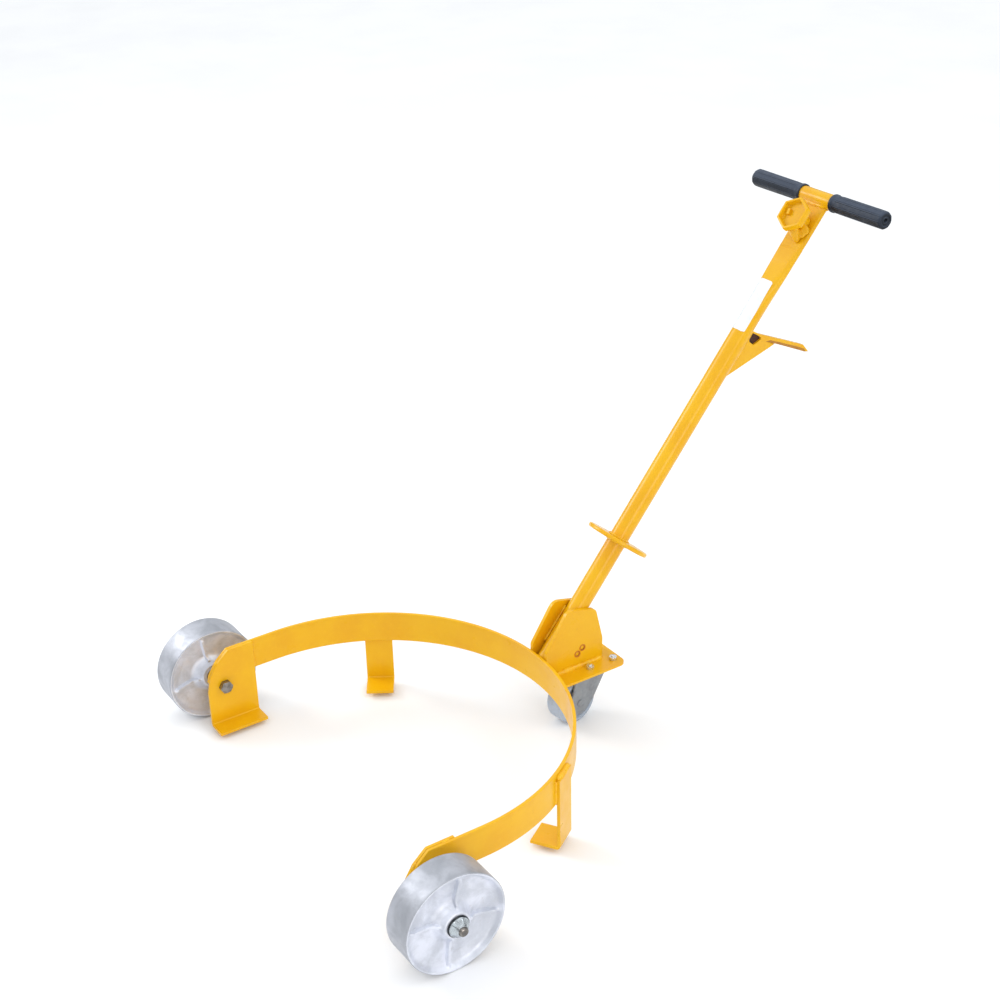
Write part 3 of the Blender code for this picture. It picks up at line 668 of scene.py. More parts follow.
def bead(name, points, radius, closed=False, ripple=WELD_RIPPLE):
    """A painted weld bead along a path in the frame: half-moon ripples, uneven in width and height."""
    lengths = [0.0]
    path = [Vector(point) for point in points]
    if closed:
        path.append(path[0].copy())
    for here, there in zip(path, path[1:]):
        lengths.append(lengths[-1] + (there - here).length)
    total = lengths[-1]
    rows = max(10, int(total / (ripple / 7)))
    around = 14
    rings = []
    for row in range(rows if closed else rows + 1):
        along = total * row / rows
        index = next(i for i in range(1, len(lengths)) if along <= lengths[i] + 1e-9)
        span = lengths[index] - lengths[index - 1]
        share = (along - lengths[index - 1]) / span if span else 0.0
        centre = path[index - 1].lerp(path[index], share)
        tangent = (path[index] - path[index - 1]).normalized()
        side = tangent.cross(Vector((0.13, 0.21, 0.97)))
        if side.length < 0.2:
            side = tangent.cross(Vector((1, 0, 0)))
        side.normalize()
        over = side.cross(tangent)
        wave = 1 - 0.16 * abs(math.sin(math.pi * along / ripple))
        uneven = 1 + 0.20 * noise.noise(centre * 130)
        to_end = total if closed else min(along, total - along)
        end = min(1.0, 0.45 + to_end / radius * 0.5)
        reach = radius * wave * uneven * end
        ring = []
        for step in range(around):
            angle = 2 * math.pi * step / around
            spot = centre + (side * math.cos(angle) + over * math.sin(angle)) * reach
            ring.append(spot + Vector(noise.noise_vector(spot * 320)) * radius * 0.10)
        rings.append(ring)
    return finish_piece(name, skin(rings, closed), Matrix.Identity(4), WELD)


def line(start, end, steps=8):
    start, end = Vector(start), Vector(end)
    return [start.lerp(end, step / steps) for step in range(steps + 1)]


# ---------------------------------------------------------------- band, straps, brackets


def front_outline(rear, bottom):
    """The chamfered front that a band's leg and its bracket share, in the frame's Y and Z."""
    above = BAND_TOP + 0.002
    corners = [
        (DRUM_Y - 0.0845, above, 0),
        (DRUM_Y - 0.0845, BAND_TOP, 0),
        (DRUM_Y - 0.1050, 0.1195, 0.020),
        (DRUM_Y - 0.1185, 0.0980, 0.020),
        (BRACKET_FRONT, 0.0700, 0.030),
        (BRACKET_FRONT, bottom, 0),
        (rear, bottom, 0),
        (rear, above, 0),
    ]
    return rounded(corners, 5)


def drum_band():
    inner = BAND_RADIUS - PLATE
    centre = (0, DRUM_Y)
    outline = [(BAND_RADIUS, BAND_LEG_END)]
    outline += arc(centre, BAND_RADIUS, 0, 180, 120)
    outline += [(-BAND_RADIUS, BAND_LEG_END), (-inner, BAND_LEG_END)]
    outline += arc(centre, inner, 180, 0, 120)
    outline += [(inner, BAND_LEG_END)]
    band = flat_solid([outline], BAND_HEIGHT, upright((0, 0, BAND_BOTTOM + BAND_HEIGHT / 2)))
    band = trimmed(band, flat_solid([front_outline(0.20, LIP_BOTTOM)], 0.7, sideways()))
    plate_piece("band", band, YELLOW, ["drum_band"], width=BAR_EDGE)


def bent_lip(outer, top):
    inner = outer - PLATE
    corners = [
        (outer, LIP_BOTTOM, 0.0075),
        (outer, top, 0),
        (inner, top, 0),
        (inner, LIP_TOP, 0.0025),
        (LIP_INNER, LIP_TOP, 0),
        (LIP_INNER, LIP_BOTTOM, 0),
    ]
    return rounded(corners, 10)


def lift_strap(word, angle):
    """A strap lapped on the band's outside and bent in under the drum, welded all round."""
    radial = Vector((math.cos(angle), math.sin(angle), 0))
    across = Vector((-radial.y, radial.x, 0))
    place = axes(radial, (0, 0, 1), (0, DRUM_Y, 0))
    mesh = flat_solid([bent_lip(STRAP_OUTER, STRAP_TOP)], STRAP_WIDTH, place)
    plate_piece("strap_" + word, mesh, YELLOW, ["lift_strap_" + word], width=BAR_EDGE)

    def on_band(offset, proud, height):
        """A point just off the band's outside, so far to one side of the strap's middle."""
        depth = math.sqrt(BAND_RADIUS**2 - offset**2) + proud
        return Vector((0, DRUM_Y, 0)) + radial * depth + across * offset + Vector((0, 0, height))

    reach = STRAP_WIDTH / 2 - 0.002
    offsets = [reach * (2 * step / 12 - 1) for step in range(13)]
    top = [on_band(offset, 0.0008, STRAP_TOP + 0.0004) for offset in offsets]
    bead("weld_strap_top_" + word, top, 0.0056)
    under = [on_band(offset, 0.0002, BAND_BOTTOM - 0.0006) for offset in offsets]
    bead("weld_strap_under_" + word, under, 0.0024)
    for where, offset in (("front", -STRAP_WIDTH / 2), ("rear", STRAP_WIDTH / 2)):
        ends = [on_band(offset, 0, height) for height in (BAND_BOTTOM + 0.002, STRAP_TOP - 0.001)]
        bead(f"weld_strap_{where}_{word}", ends, 0.0026, ripple=SMOOTH_RIPPLE)


def wheel_bracket(side, word):
    middle = (BRACKET_FRONT + BRACKET_REAR) / 2
    place = axes((side, 0, 0), (0, 0, 1), (0, middle, 0))
    bracket = flat_solid([bent_lip(BRACKET_OUTER, BAND_TOP)], BRACKET_REAR - BRACKET_FRONT, place)
    outline = front_outline(BRACKET_REAR + 0.002, LIP_BOTTOM - 0.002)
    hole = round_hole((AXLE_Y, WHEEL_RADIUS), BOLT_RADIUS + GAP)
    cutter = flat_solid([outline, hole], 0.16, sideways((side * 0.29, 0, 0)))
    bracket = trimmed(bracket, cutter)
    plate_piece("bracket_" + word, bracket, YELLOW, ["wheel_bracket_" + word])
    seam = side * (BRACKET_OUTER + GAP / 2)
    corner = ((0.1018, 0.1218), (0.1054, 0.1182), (0.1078, 0.1142))
    corner = [(seam, DRUM_Y - before, height) for before, height in corner]
    bead("weld_bracket_corner_" + word, corner, 0.0027)
    crest = BAND_TOP - 0.0008
    over = line((seam, DRUM_Y - 0.0500, crest), (seam, DRUM_Y - 0.0610, crest), 4)
    bead("weld_bracket_over_" + word, over, 0.0021)
    outside = side * (BRACKET_OUTER + 0.0006)
    low = BAND_BOTTOM - 0.0004
    under = line((outside, BRACKET_FRONT + 0.012, low), (outside, BRACKET_REAR, low))
    bead("weld_bracket_under_" + word, under, 0.0026)
    inside = side * (BRACKET_OUTER - 0.0004)
    edge = BRACKET_REAR + 0.0004
    rear = line((inside, edge, BAND_BOTTOM + 0.003), (inside, edge, BAND_TOP - 0.003))
    bead("weld_bracket_rear_" + word, rear, 0.0022)


# ---------------------------------------------------------------- main wheels


def axle(side, word):
    """A wheel's bolt, spacer, washer and flanged lock nut, from the bracket out."""
    out = axes((0, side, 0), (0, 0, 1), (0, AXLE_Y, WHEEL_RADIUS))
    hub_start = WHEEL_X - HUB_LENGTH / 2
    hub_end = WHEEL_X + HUB_LENGTH / 2
    shank = BOLT_RADIUS - 0.00005
    bore = BOLT_RADIUS + GAP
    axle_bolt(word, out, shank)
    corners = [
        (SPACER_RADIUS, BRACKET_OUTER + GAP, 0.0005),
        (SPACER_RADIUS, hub_start - GAP, 0.0005),
        (bore, hub_start - GAP, 0),
        (bore, BRACKET_OUTER + GAP, 0),
    ]
    finish_piece("spacer_" + word, turned(rounded(corners, 3)), out, ZINC, ["axle_spacer_" + word])
    low, high = hub_end + GAP, hub_end + GAP + WASHER_THICKNESS
    corners = [(WASHER_RADIUS, low, 0.0004), (WASHER_RADIUS, high, 0.0007)]
    corners += [(bore, high, 0.0003), (bore, low, 0.0002)]
    # The washer is near-black: painted shade for the gap between hub and nut
    finish_piece("washer_" + word, turned(rounded(corners, 3)), out, WASHER_SHADE, ["axle_washer_" + word])
    lock_nut(word, out, bore, high + GAP)


def axle_bolt(word, out, shank):
    """The head inside the bracket, a plain shank, a threaded end and its domed tip."""
    count = 72
    head_end = BRACKET_OUTER - PLATE - GAP
    head_start = head_end - BOLT_HEAD
    rings = [ring_of(0.0060, head_start, count)]
    rings += hex_rings(BOLT_CORNER, head_start, head_end, 0.0012, count)[:-5]
    rings += [ring_of(hex_radius(BOLT_CORNER), head_end, count)]
    rings += [ring_of(shank, height, count) for height in (head_end, THREAD_START - 0.0002)]
    rings += thread_rings(shank, 0.0009, BOLT_PITCH, THREAD_START, BOLT_TIP - 0.0012, count)
    tip = [(0.0006, 0.0008), (0.0014, 0.0001), (0.0020, 0.0), (0.0028, 0.0003), (0.0034, 0.0004)]
    rings += [ring_of(shank - inset, BOLT_TIP - drop, count) for inset, drop in tip]
    finish_piece("bolt_" + word, skin(rings), out, BOLT_STEEL, ["axle_bolt_" + word])


def lock_nut(word, out, bore, low):
    """A flange, a hexagon that narrows to a cone, and a crimped collar."""
    count = 72
    high = low + NUT_HEIGHT
    flange = [(0.0149, low), (0.0153, low + 0.0004), (0.0153, low + 0.0009), (0.0150, low + 0.0013)]
    rings = [ring_of(radius, height, count) for radius, height in flange]
    for step in range(11):
        share = step / 10
        shape = hex_radius(0.0160 - 0.0062 * share, 15)
        limit = 0.0149 - 0.0066 * share**1.3
        height = low + 0.0015 + (high - 0.0008 - low - 0.0015) * share
        rings.append(ring_of(lesser(shape, limit), height, count))
    collar = [(0.0080, high - 0.0005), (0.0077, high), (0.0071, high + 0.0001), (bore, high - 0.0006)]
    rings += [ring_of(radius, height, count) for radius, height in collar]
    rings.append(ring_of(bore, low, count))
    finish_piece("nut_" + word, skin(rings, closed=True), out, NUT_STEEL, ["axle_nut_" + word])


RIB_ANGLES = [math.radians(angle) for angle in (170, 80, -10, -100)]
RIB_HEIGHT = 0.0056
RIB_HALF_WIDTH = 0.0032
RIB_FLANK = 0.0015
RIB_START = 0.0215
RIB_END = 0.0715
CAST_GRAIN = 0.00022  # how far the cast faces wander from true


def rib_rise(x, y):
    """How far a wheel's face stands out at a point, for its four cast ribs."""
    radius = math.hypot(x, y)
    inner = min(1.0, max(0.0, (radius - RIB_START) / 0.005))
    outer = min(1.0, max(0.0, (RIB_END - radius) / 0.009))
    rise = 0.0
    for angle in RIB_ANGLES:
        along = x * math.cos(angle) + y * math.sin(angle)
        off = abs(-x * math.sin(angle) + y * math.cos(angle))
        if along > 0:
            flank = min(1.0, max(0.0, (RIB_HALF_WIDTH - off) / RIB_FLANK))
            rise = max(rise, flank * flank * (3 - 2 * flank))
    return RIB_HEIGHT * rise * inner * outer


def wheel(side, word):
    """A cast wheel: raised thin rim, dished face with four ribs, tapering hub, and its bronze bush."""
    out = axes((0, side, 0), (0, 0, 1), (side * WHEEL_X, AXLE_Y, WHEEL_RADIUS))
    face = WHEEL_WIDTH / 2
    hub = HUB_LENGTH / 2
    corners = [
        (HUB_BORE, hub - 0.0008, 0),
        (HUB_BORE + 0.0008, hub, 0.0002),
        (0.0196, hub, 0.0022),
        (0.0232, face - 0.0045, 0.0060),
        (0.0310, face - 0.0135, 0.0100),
        (0.0560, face - 0.0110, 0.0300),
        (0.0680, face - 0.0070, 0.0090),
        (0.0728, face - 0.0004, 0.0008),
        (RIM_INNER, face, 0.0007),
        (WHEEL_RADIUS, face - 0.0012, 0.0008),
    ]
    middle = [(WHEEL_RADIUS, 0, 0), (HUB_BORE, 0, 0)]
    half = spread(rounded(corners + middle, 6)[:-1], 0.0016)
    profile = half + [(radius, -height) for radius, height in reversed(half[:-1])]
    rings = []
    count = 400
    for radius, height in profile:
        ring = []
        for index in range(count):
            angle = 2 * math.pi * index / count
            x, y = radius * math.cos(angle), radius * math.sin(angle)
            sign = 1 if height > 0 else -1
            lift = rib_rise(x, y) if abs(height) < hub and radius < RIB_END else 0.0
            if radius < RIM_INNER:
                lift += CAST_GRAIN * noise.noise(Vector((x, y, height)) * 140)
            ring.append((x, y, height + sign * lift))
        rings.append(ring)
    rings.append(ring_of(HUB_BORE, -hub + 0.0008, count))
    mesh = skin(rings, closed=True)
    cast = finish_piece("cast_wheel_" + word, mesh, out, CAST, ["wheel_" + word], "wheel_" + word)
    # The tread's faces get the darkened casting: painted shade
    repaint(cast, CAST_TREAD_SHADE, lambda face: face.center.xy.length > WHEEL_RADIUS - 0.0008)
    outer, inner = HUB_BORE - GAP, BOLT_RADIUS + GAP
    corners = ((outer, -hub), (outer, hub), (inner, hub), (inner, -hub))
    bush = turned(rounded([(radius, height, 0.0004) for radius, height in corners], 3))
    finish_piece("bush_" + word, bush, out, BRONZE, ["wheel_bush_" + word], "wheel_" + word)


def spread(points, gap):
    """Adds points along the long stretches of an open outline."""
    made = [points[0]]
    for (x, y), (next_x, next_y) in zip(points, points[1:]):
        parts = max(1, math.ceil(math.hypot(next_x - x, next_y - y) / gap))
        for part in range(1, parts + 1):
            made.append((x + (next_x - x) * part / parts, y + (next_y - y) * part / parts))
    return made


# ---------------------------------------------------------------- rear plate and caster


def mount_places():
    return [(x, KING_Y + y) for x in (-MOUNT_X, MOUNT_X) for y in (-MOUNT_Y, MOUNT_Y)]


def rear_plate():
    corners = [
        (-PLATE_HALF_WIDTH, PLATE_FRONT, 0),
        (PLATE_HALF_WIDTH, PLATE_FRONT, 0),
        (PLATE_HALF_WIDTH, PLATE_REAR, 0.012),
        (-PLATE_HALF_WIDTH, PLATE_REAR, 0.012),
    ]
    holes = [round_hole(place, MOUNT_BOLT + GAP) for place in mount_places()]
    level = upright((0, 0, (PLATE_TOP + PLATE_BOTTOM) / 2))
    mesh = flat_solid([rounded(corners)] + holes, MOUNT_PLATE, level)
    plate_piece("rear_plate", mesh, YELLOW, ["caster_mount_plate"])
    front = DRUM_Y + BAND_RADIUS + 0.0004
    for where, height in (("over", PLATE_TOP + 0.0003), ("under", PLATE_BOTTOM - 0.0003)):
        for side, word in ((-1, "left"), (1, "right")):
            start = (side * 0.0235, front + 0.0004, height)
            end = (side * (PLATE_HALF_WIDTH - 0.002), front - 0.0038, height)
            bead(f"weld_plate_{where}_{word}", line(start, end), 0.0026)


def gusset(side, word):
    """A cheek plate beside the tube's foot, with two round marks, and its welds."""
    low = PLATE_TOP + GAP
    front = DRUM_Y + BAND_RADIUS + 0.0008
    corners = [
        (front, low, 0),
        (GUSSET_REAR, low, 0),
        (GUSSET_REAR + 0.0006, 0.1405, 0.030),
        (DRUM_Y + 0.3975, 0.1970, 0.013),
        (DRUM_Y + 0.3450, 0.2101, 0.015),
        (front, 0.1480, 0.010),
    ]
    marks = [(DRUM_Y + 0.3720, 0.1356), (DRUM_Y + 0.3624, 0.1272)]
    holes = [round_hole(mark, 0.0040, 24) for mark in marks]
    inner = TUBE_RADIUS + GAP
    outer = inner + GUSSET_PLATE
    place = sideways((side * (inner + GUSSET_PLATE / 2), 0, 0))
    mesh = flat_solid([rounded(corners)] + holes, GUSSET_PLATE, place)
    plate_piece("gusset_plate_" + word, mesh, YELLOW, ["gusset_" + word], width=0.0008)
    for index, (y, z) in enumerate(marks, start=1):
        round_mark(side, f"{word}_{index}", sideways((side * outer, y, z)))
    foot = side * (outer + 0.0006)
    floor = PLATE_TOP + 0.0006
    beside = line((foot, front + 0.007, floor), (foot, GUSSET_REAR - 0.0020, floor))
    bead("weld_gusset_foot_" + word, beside, 0.0054, ripple=SMOOTH_RIPPLE)
    behind = GUSSET_REAR + 0.0004
    rear = line((side * inner, behind, floor), (side * outer, behind, floor), 4)
    bead("weld_gusset_rear_" + word, rear, 0.0024)
    seam = front - 0.0004
    up_band = line((foot, seam, floor + 0.004), (foot, seam, BAND_TOP - 0.002))
    bead("weld_gusset_band_" + word, up_band, 0.0026)
    for where, start, end, height in (("front", 0.182, 0.246, 0.0100), ("rear", 0.170, 0.236, -0.0100)):
        beside = Vector((side * (inner - 0.0012), 0, 0))
        points = [on_handle(along, height) @ beside for along in (start, end)]
        bead(f"weld_gusset_tube_{where}_{word}", line(*points), 0.0022)


def round_mark(side, name, place):
    """A raised ring round a plug in the hole, coloured darker orange-brown as painted shade for the hole's
    wall.
    """
    ring = [(0.0060, 0.0001), (0.0056, 0.0006), (0.0045, 0.0008)]
    ring += [(0.0036, 0.0002), (0.0037, -0.0012), (0.0060, -0.0003)]
    ring = turned([(radius, side * height) for radius, height in ring], 48)
    finish_piece("mark_ring_" + name, ring, place, MARK_SHADE)
    plug = [(0.0034, -0.0042), (0.0034, -0.0012), (0.0030, -0.0006), (0.0016, -0.0004)]
    plug = turned([(radius, side * height) for radius, height in plug], 48, closed=False)
    finish_piece("mark_plug_" + name, plug, place, YELLOW)


def caster():
    x, y = TOP_PLATE_HALF
    corners = [(-x, -y, 0.006), (x, -y, 0.006), (x, y, 0.006), (-x, y, 0.006)]
    holes = [round_hole((x, y - KING_Y), MOUNT_BOLT + GAP) for x, y in mount_places()]
    level = upright((0, KING_Y, (TOP_PLATE_HIGH + TOP_PLATE_LOW) / 2))
    mesh = flat_solid([rounded(corners)] + holes, TOP_PLATE_HIGH - TOP_PLATE_LOW, level)
    plate_piece("top_plate", mesh, FORK, ["caster_top_plate"], width=0.0005)
    swivel = upright((0, KING_Y, 0))
    high, low = TOP_PLATE_LOW - GAP, FORK_TOP + GAP
    race = [
        (0.0245, high, 0.0010),
        (0.0285, FORK_TOP + 0.0030, 0.0015),
        (0.0255, low, 0.0008),
        (0.0055, low, 0),
        (0.0055, high, 0),
    ]
    finish_piece("ball_race", turned(rounded(race, 5)), swivel, FORK, ["caster_ball_race"])
    pin_low = FORK_TOP - FORK_SHEET - GAP
    pin = [
        (KING_PIN, high, 0),
        (KING_PIN, pin_low, 0),
        (0.0090, pin_low, 0.0006),
        (0.0090, pin_low - 0.0035, 0.0016),
        (0.0050, pin_low - 0.0050, 0.0010),
        (0.0010, pin_low - 0.0050, 0),
        (0.0010, high, 0),
    ]
    mesh = turned(rounded(pin, 4)[:-1], closed=False)
    finish_piece("king_pin", mesh, on_caster(swivel), ZINC, ["caster_king_pin"], "caster_swivel")
    caster_fork()
    caster_wheel()


def caster_fork():
    """A sheet bent to a channel over the wheel, its legs tapering to the axle."""
    half, inside = FORK_HALF_WIDTH, FORK_HALF_WIDTH - FORK_SHEET
    crown = FORK_TOP - FORK_SHEET
    below = 0.010  # lower than the legs' ends, which are cut out of the channel
    corners = [
        (-half, below, 0),
        (-half, FORK_TOP, 0.005),
        (half, FORK_TOP, 0.005),
        (half, below, 0),
        (inside, below, 0),
        (inside, crown, 0.002),
        (-inside, crown, 0.002),
        (-inside, below, 0),
    ]
    channel = axes((1, 0, 0), (0, 0, 1), (0, KING_Y - 0.01, 0))
    mesh = flat_solid([rounded(corners, 8)], 0.10, channel)
    side = [(KING_Y - 0.046, FORK_TOP + 0.002), (KING_Y - 0.046, 0.0800)]
    side += arc((CASTER_AXLE_Y, CASTER_RADIUS), 0.0205, 178, 318, 28)
    side += [(KING_Y - 0.0099, 0.0340), (KING_Y + 0.0139, 0.0687), (KING_Y + 0.0250, 0.0850)]
    side += [(KING_Y + 0.0250, FORK_TOP + 0.002)]
    hole = round_hole((CASTER_AXLE_Y, CASTER_RADIUS), FORK_HOLE_RADIUS)
    mesh = trimmed(mesh, flat_solid([side, hole], 0.06, sideways()))
    bore = flat_solid([round_hole((0, 0), KING_PIN + GAP)], 0.01, upright((0, KING_Y, crown)))
    mesh = trimmed(mesh, bore, "DIFFERENCE")
    mesh.transform(on_caster(Matrix.Identity(4)))
    plate_piece("fork", mesh, FORK, ["caster_fork"], "caster_swivel", width=0.0006)


def caster_wheel():
    across = on_caster(sideways((0, CASTER_AXLE_Y, CASTER_RADIUS)))
    face = CASTER_WIDTH / 2
    hub = FORK_HALF_WIDTH - FORK_SHEET - 0.0012
    sleeve = 0.0062
    half = [
        (sleeve + GAP, hub, 0),
        (0.0100, hub, 0.0008),
        (0.0118, face - 0.0040, 0.0018),
        (0.0288, face - 0.0040, 0.0020),
        (0.0308, face - 0.0002, 0.0010),
        (0.0362, face, 0.0016),
        (CASTER_RADIUS, face - 0.0030, 0.0025),
    ]
    corners = half + [(radius, -height, bend) for radius, height, bend in reversed(half)]
    tyre = turned(rounded(corners, 6), 120)
    finish_piece("caster_tyre", tyre, across, TREAD, ["caster_wheel"], "caster_wheel")
    reach = FORK_HALF_WIDTH - FORK_SHEET - GAP
    bore = FORK_HOLE_RADIUS
    tube = [(sleeve, -reach, 0.0003), (sleeve, reach, 0.0003), (bore, reach, 0), (bore, -reach, 0)]
    finish_piece("sleeve", turned(rounded(tube, 3)), across, ZINC, ["caster_wheel_sleeve"], "caster_swivel")
    outside = FORK_HALF_WIDTH + GAP
    head = [(0.0040, outside), (0.0055, outside), (0.0058, outside + 0.0004), (0.0050, outside + 0.0009)]
    head += [(0.0034, outside + 0.0012), (0.0012, outside + 0.0013)]
    profile = head[::-1] + [(radius, -height) for radius, height in head]
    rivet = turned(profile, closed=False)
    finish_piece("axle_rivet", rivet, across, FORK, ["caster_axle_rivet"], "caster_swivel")


def mount_fasteners():
    """Four bolts up through both plates, each with its nut, and each turned its own way."""
    head_top = TOP_PLATE_LOW - GAP
    low = PLATE_TOP + GAP
    high = low + MOUNT_NUT
    tip = PLATE_TOP + 0.0074
    inside = MOUNT_BOLT + GAP
    count = 60
    for index, (x, y) in enumerate(mount_places(), start=1):
        place = upright((x, y, 0)) @ Matrix.Rotation(math.radians(17 * index), 4, "Z")
        rings = [ring_of(0.0030, head_top - 0.0041, count)]
        rings += hex_rings(MOUNT_HEX, head_top - 0.0040, head_top, 0.0007, count)
        rings += [ring_of(MOUNT_BOLT, height, count) for height in (head_top, low)]
        rings += thread_rings(MOUNT_BOLT, 0.0005, 0.0010, low + 0.0002, tip - 0.0005, count)
        rings += [ring_of(MOUNT_BOLT - 0.0008, tip, count)]
        finish_piece(f"plate_bolt_{index}", skin(rings), place, ZINC, [f"mount_bolt_{index}"])
        nut = hex_rings(MOUNT_HEX + 0.0006, low, high, 0.0012, count)
        bore = ((inside + 0.0004, high), (inside, high - 0.0005), (inside, low))
        nut += [ring_of(radius, height, count) for radius, height in bore]
        finish_piece(f"plate_nut_{index}", skin(nut, closed=True), place, ZINC, [f"mount_nut_{index}"])


# ---------------------------------------------------------------- handle


def eased(share):
    """A share from 0 to 1 that starts and ends gently, and is held outside."""
    share = min(1.0, max(0.0, share))
    return share * share * (3 - 2 * share)


def tube_section(along):
    """(width, thickness) of the handle tube: round, then pressed flat towards the crossbar."""
    start, middle, end = PRESSED
    flat = eased((along - start) / (middle - start))
    flatter = TUBE_FLATTEST * min(1, max(0, (along - middle) / (end - middle)))
    width = 2 * TUBE_RADIUS + flat * TUBE_WIDENED + flatter
    return width, 2 * TUBE_RADIUS - flat * TUBE_THINNED - flatter


def oval(width, thickness, along):
    """A ring across the tube, in the handle's own axes: straight sides with half-round ends."""
    points = []
    count = 96
    for index in range(count):
        angle = 2 * math.pi * (index + 0.5) / count
        side = math.copysign((width - thickness) / 2, math.cos(angle))
        x = side + thickness / 2 * math.cos(angle)
        crease = CREASE_ALONG + CREASE_BOW * (x / 0.0215) ** 2
        press = CREASE_DEPTH * eased((along - crease) / 0.0030)
        points.append((-x, along, (thickness / 2 - press) * math.sin(angle)))
    return points


def handle_tube():
    end = Vector((CROSSBAR_Y - HANDLE_FOOT_Y, CROSSBAR_Z)).length - CROSSBAR_RADIUS - GAP
    fine = 0.778
    stations = [TUBE_START] + [0.2 + 0.0575 * step for step in range(11)]
    stations += [fine + (end - fine) * step / 140 for step in range(141)]
    outside, inside = [], []
    for along in stations:
        width, thickness = tube_section(along)
        outside.append(oval(width, thickness, along))
        inside.append(oval(width - 2 * TUBE_WALL, thickness - 2 * TUBE_WALL, along))
    mesh = skin(outside + inside[::-1], closed=True)
    finish_piece("tube", mesh, on_handle(0), YELLOW, ["handle_tube"])
    for where, side in (("front", 1), ("rear", -1)):
        height = side * (tube_section(end)[1] / 2 + 0.0006)
        widths = [0.0205 * (2 * step / 16 - 1) for step in range(17)]
        points = [on_handle(end + 0.0014) @ Vector((x, 0, height)) for x in widths]
        bead(f"weld_crossbar_{where}", points, 0.0036, ripple=0.0200)


def crossbar():
    across = sideways((0, CROSSBAR_Y, CROSSBAR_Z))
    reach = CROSSBAR_HALF_LENGTH
    bore = CROSSBAR_RADIUS - CROSSBAR_WALL
    corners = [(CROSSBAR_RADIUS, -reach, 0.0006), (CROSSBAR_RADIUS, reach, 0.0006)]
    corners += [(bore, reach, 0), (bore, -reach, 0)]
    finish_piece("bar", turned(rounded(corners, 3)), across, YELLOW, ["handle_crossbar"])
    for side, word in ((-1, "left"), (1, "right")):
        grip(side, word)


def grip_stations():
    """(along, radius, how much its flats show) down a grip, from its collar round to its bore."""
    bore = CROSSBAR_RADIUS + GAP
    start, end = GRIP_INNER_X, GRIP_OUTER_X
    full = GRIP_RADIUS + 0.0002
    stations = [
        (start, bore, 0),
        (start, GRIP_COLLAR - 0.0010, 0),
        (start + 0.0004, GRIP_COLLAR - 0.0003, 0),
        (start + 0.0012, GRIP_COLLAR, 0),
        (start + 0.0045, GRIP_COLLAR, 0),
        (start + 0.0060, GRIP_COLLAR - 0.0006, 0),
        (start + 0.0085, GRIP_RADIUS - 0.0004, 0),
        (start + 0.0110, GRIP_RADIUS - 0.0002, 0.3),
        (start + 0.0130, GRIP_RADIUS - 0.0001, 1),
    ]
    first, last = start + 0.0150, end - 0.0150
    for step in range(13):
        share = step / 12
        stations.append((first + (last - first) * share, GRIP_RADIUS + 0.0002 * share, 1))
    stations += [(end - 0.0100, full, 0.9), (end - 0.0060, full, 0.7)]
    bend = 0.0036
    for step in range(9):
        angle = math.pi / 2 * step / 8
        radius = GRIP_RADIUS + 0.0001 - bend + bend * math.cos(angle)
        stations.append((end - bend + bend * math.sin(angle), radius, 0.6))
    stations += [(end - 0.0001, 0.0088, 0), (end - 0.0009, 0.0082, 0), (end - 0.0010, 0.0062, 0)]
    stations += [(end - 0.0002, 0.0054, 0), (end - 0.0002, 0.0036, 0), (end - 0.0009, 0.0028, 0)]
    floor = CROSSBAR_HALF_LENGTH + GAP
    return stations + [(floor, 0.0025, 0), (floor, bore, 0)]


def grip(side, word):
    """A slip-on grip: collar and neck at its inner end, lengthwise flats and grooves, and a vent hole."""
    out = axes((0, side, 0), (0, 0, 1), (0, CROSSBAR_Y, CROSSBAR_Z))
    rings = []
    for along, radius, share in grip_stations():

        def reach(angle, radius=radius, share=share):
            turn = (angle * GRIP_FLATS / math.pi + 1) % 2 - 1
            flat = math.cos(math.pi / GRIP_FLATS) / math.cos(turn * math.pi / GRIP_FLATS)
            groove = max(0.0, 1 - abs(abs(turn) - 0.72) / 0.10)
            return radius * (1 + share * 0.85 * (flat - 0.975)) - 0.0005 * share * groove

        rings.append(ring_of(reach, along, GRIP_FLATS * 32))
    finish_piece("grip_sleeve_" + word, skin(rings, closed=True), out, RUBBER, ["grip_" + word])


def step_disc():
    half = DISC_PLATE / 2
    bore = TUBE_RADIUS + GAP
    corners = [(DISC_RADIUS, half, 0.0024), (DISC_RADIUS, -half, 0.0024)]
    corners += [(bore, -half, 0.0002), (bore, half, 0.0002)]
    place = on_handle(DISC_ALONG) @ Matrix.Rotation(-math.pi / 2, 4, "X")
    finish_piece("disc", turned(rounded(corners, 6), 144), place, YELLOW, ["step_disc"])
    for where, side in (("over", 1), ("under", -1)):
        circle = round_hole((0, 0), bore + 0.0008, 48)
        ring = [place @ Vector((*point, side * (half + 0.0008))) for point in circle]
        bead("weld_disc_" + where, ring, 0.0017, closed=True)


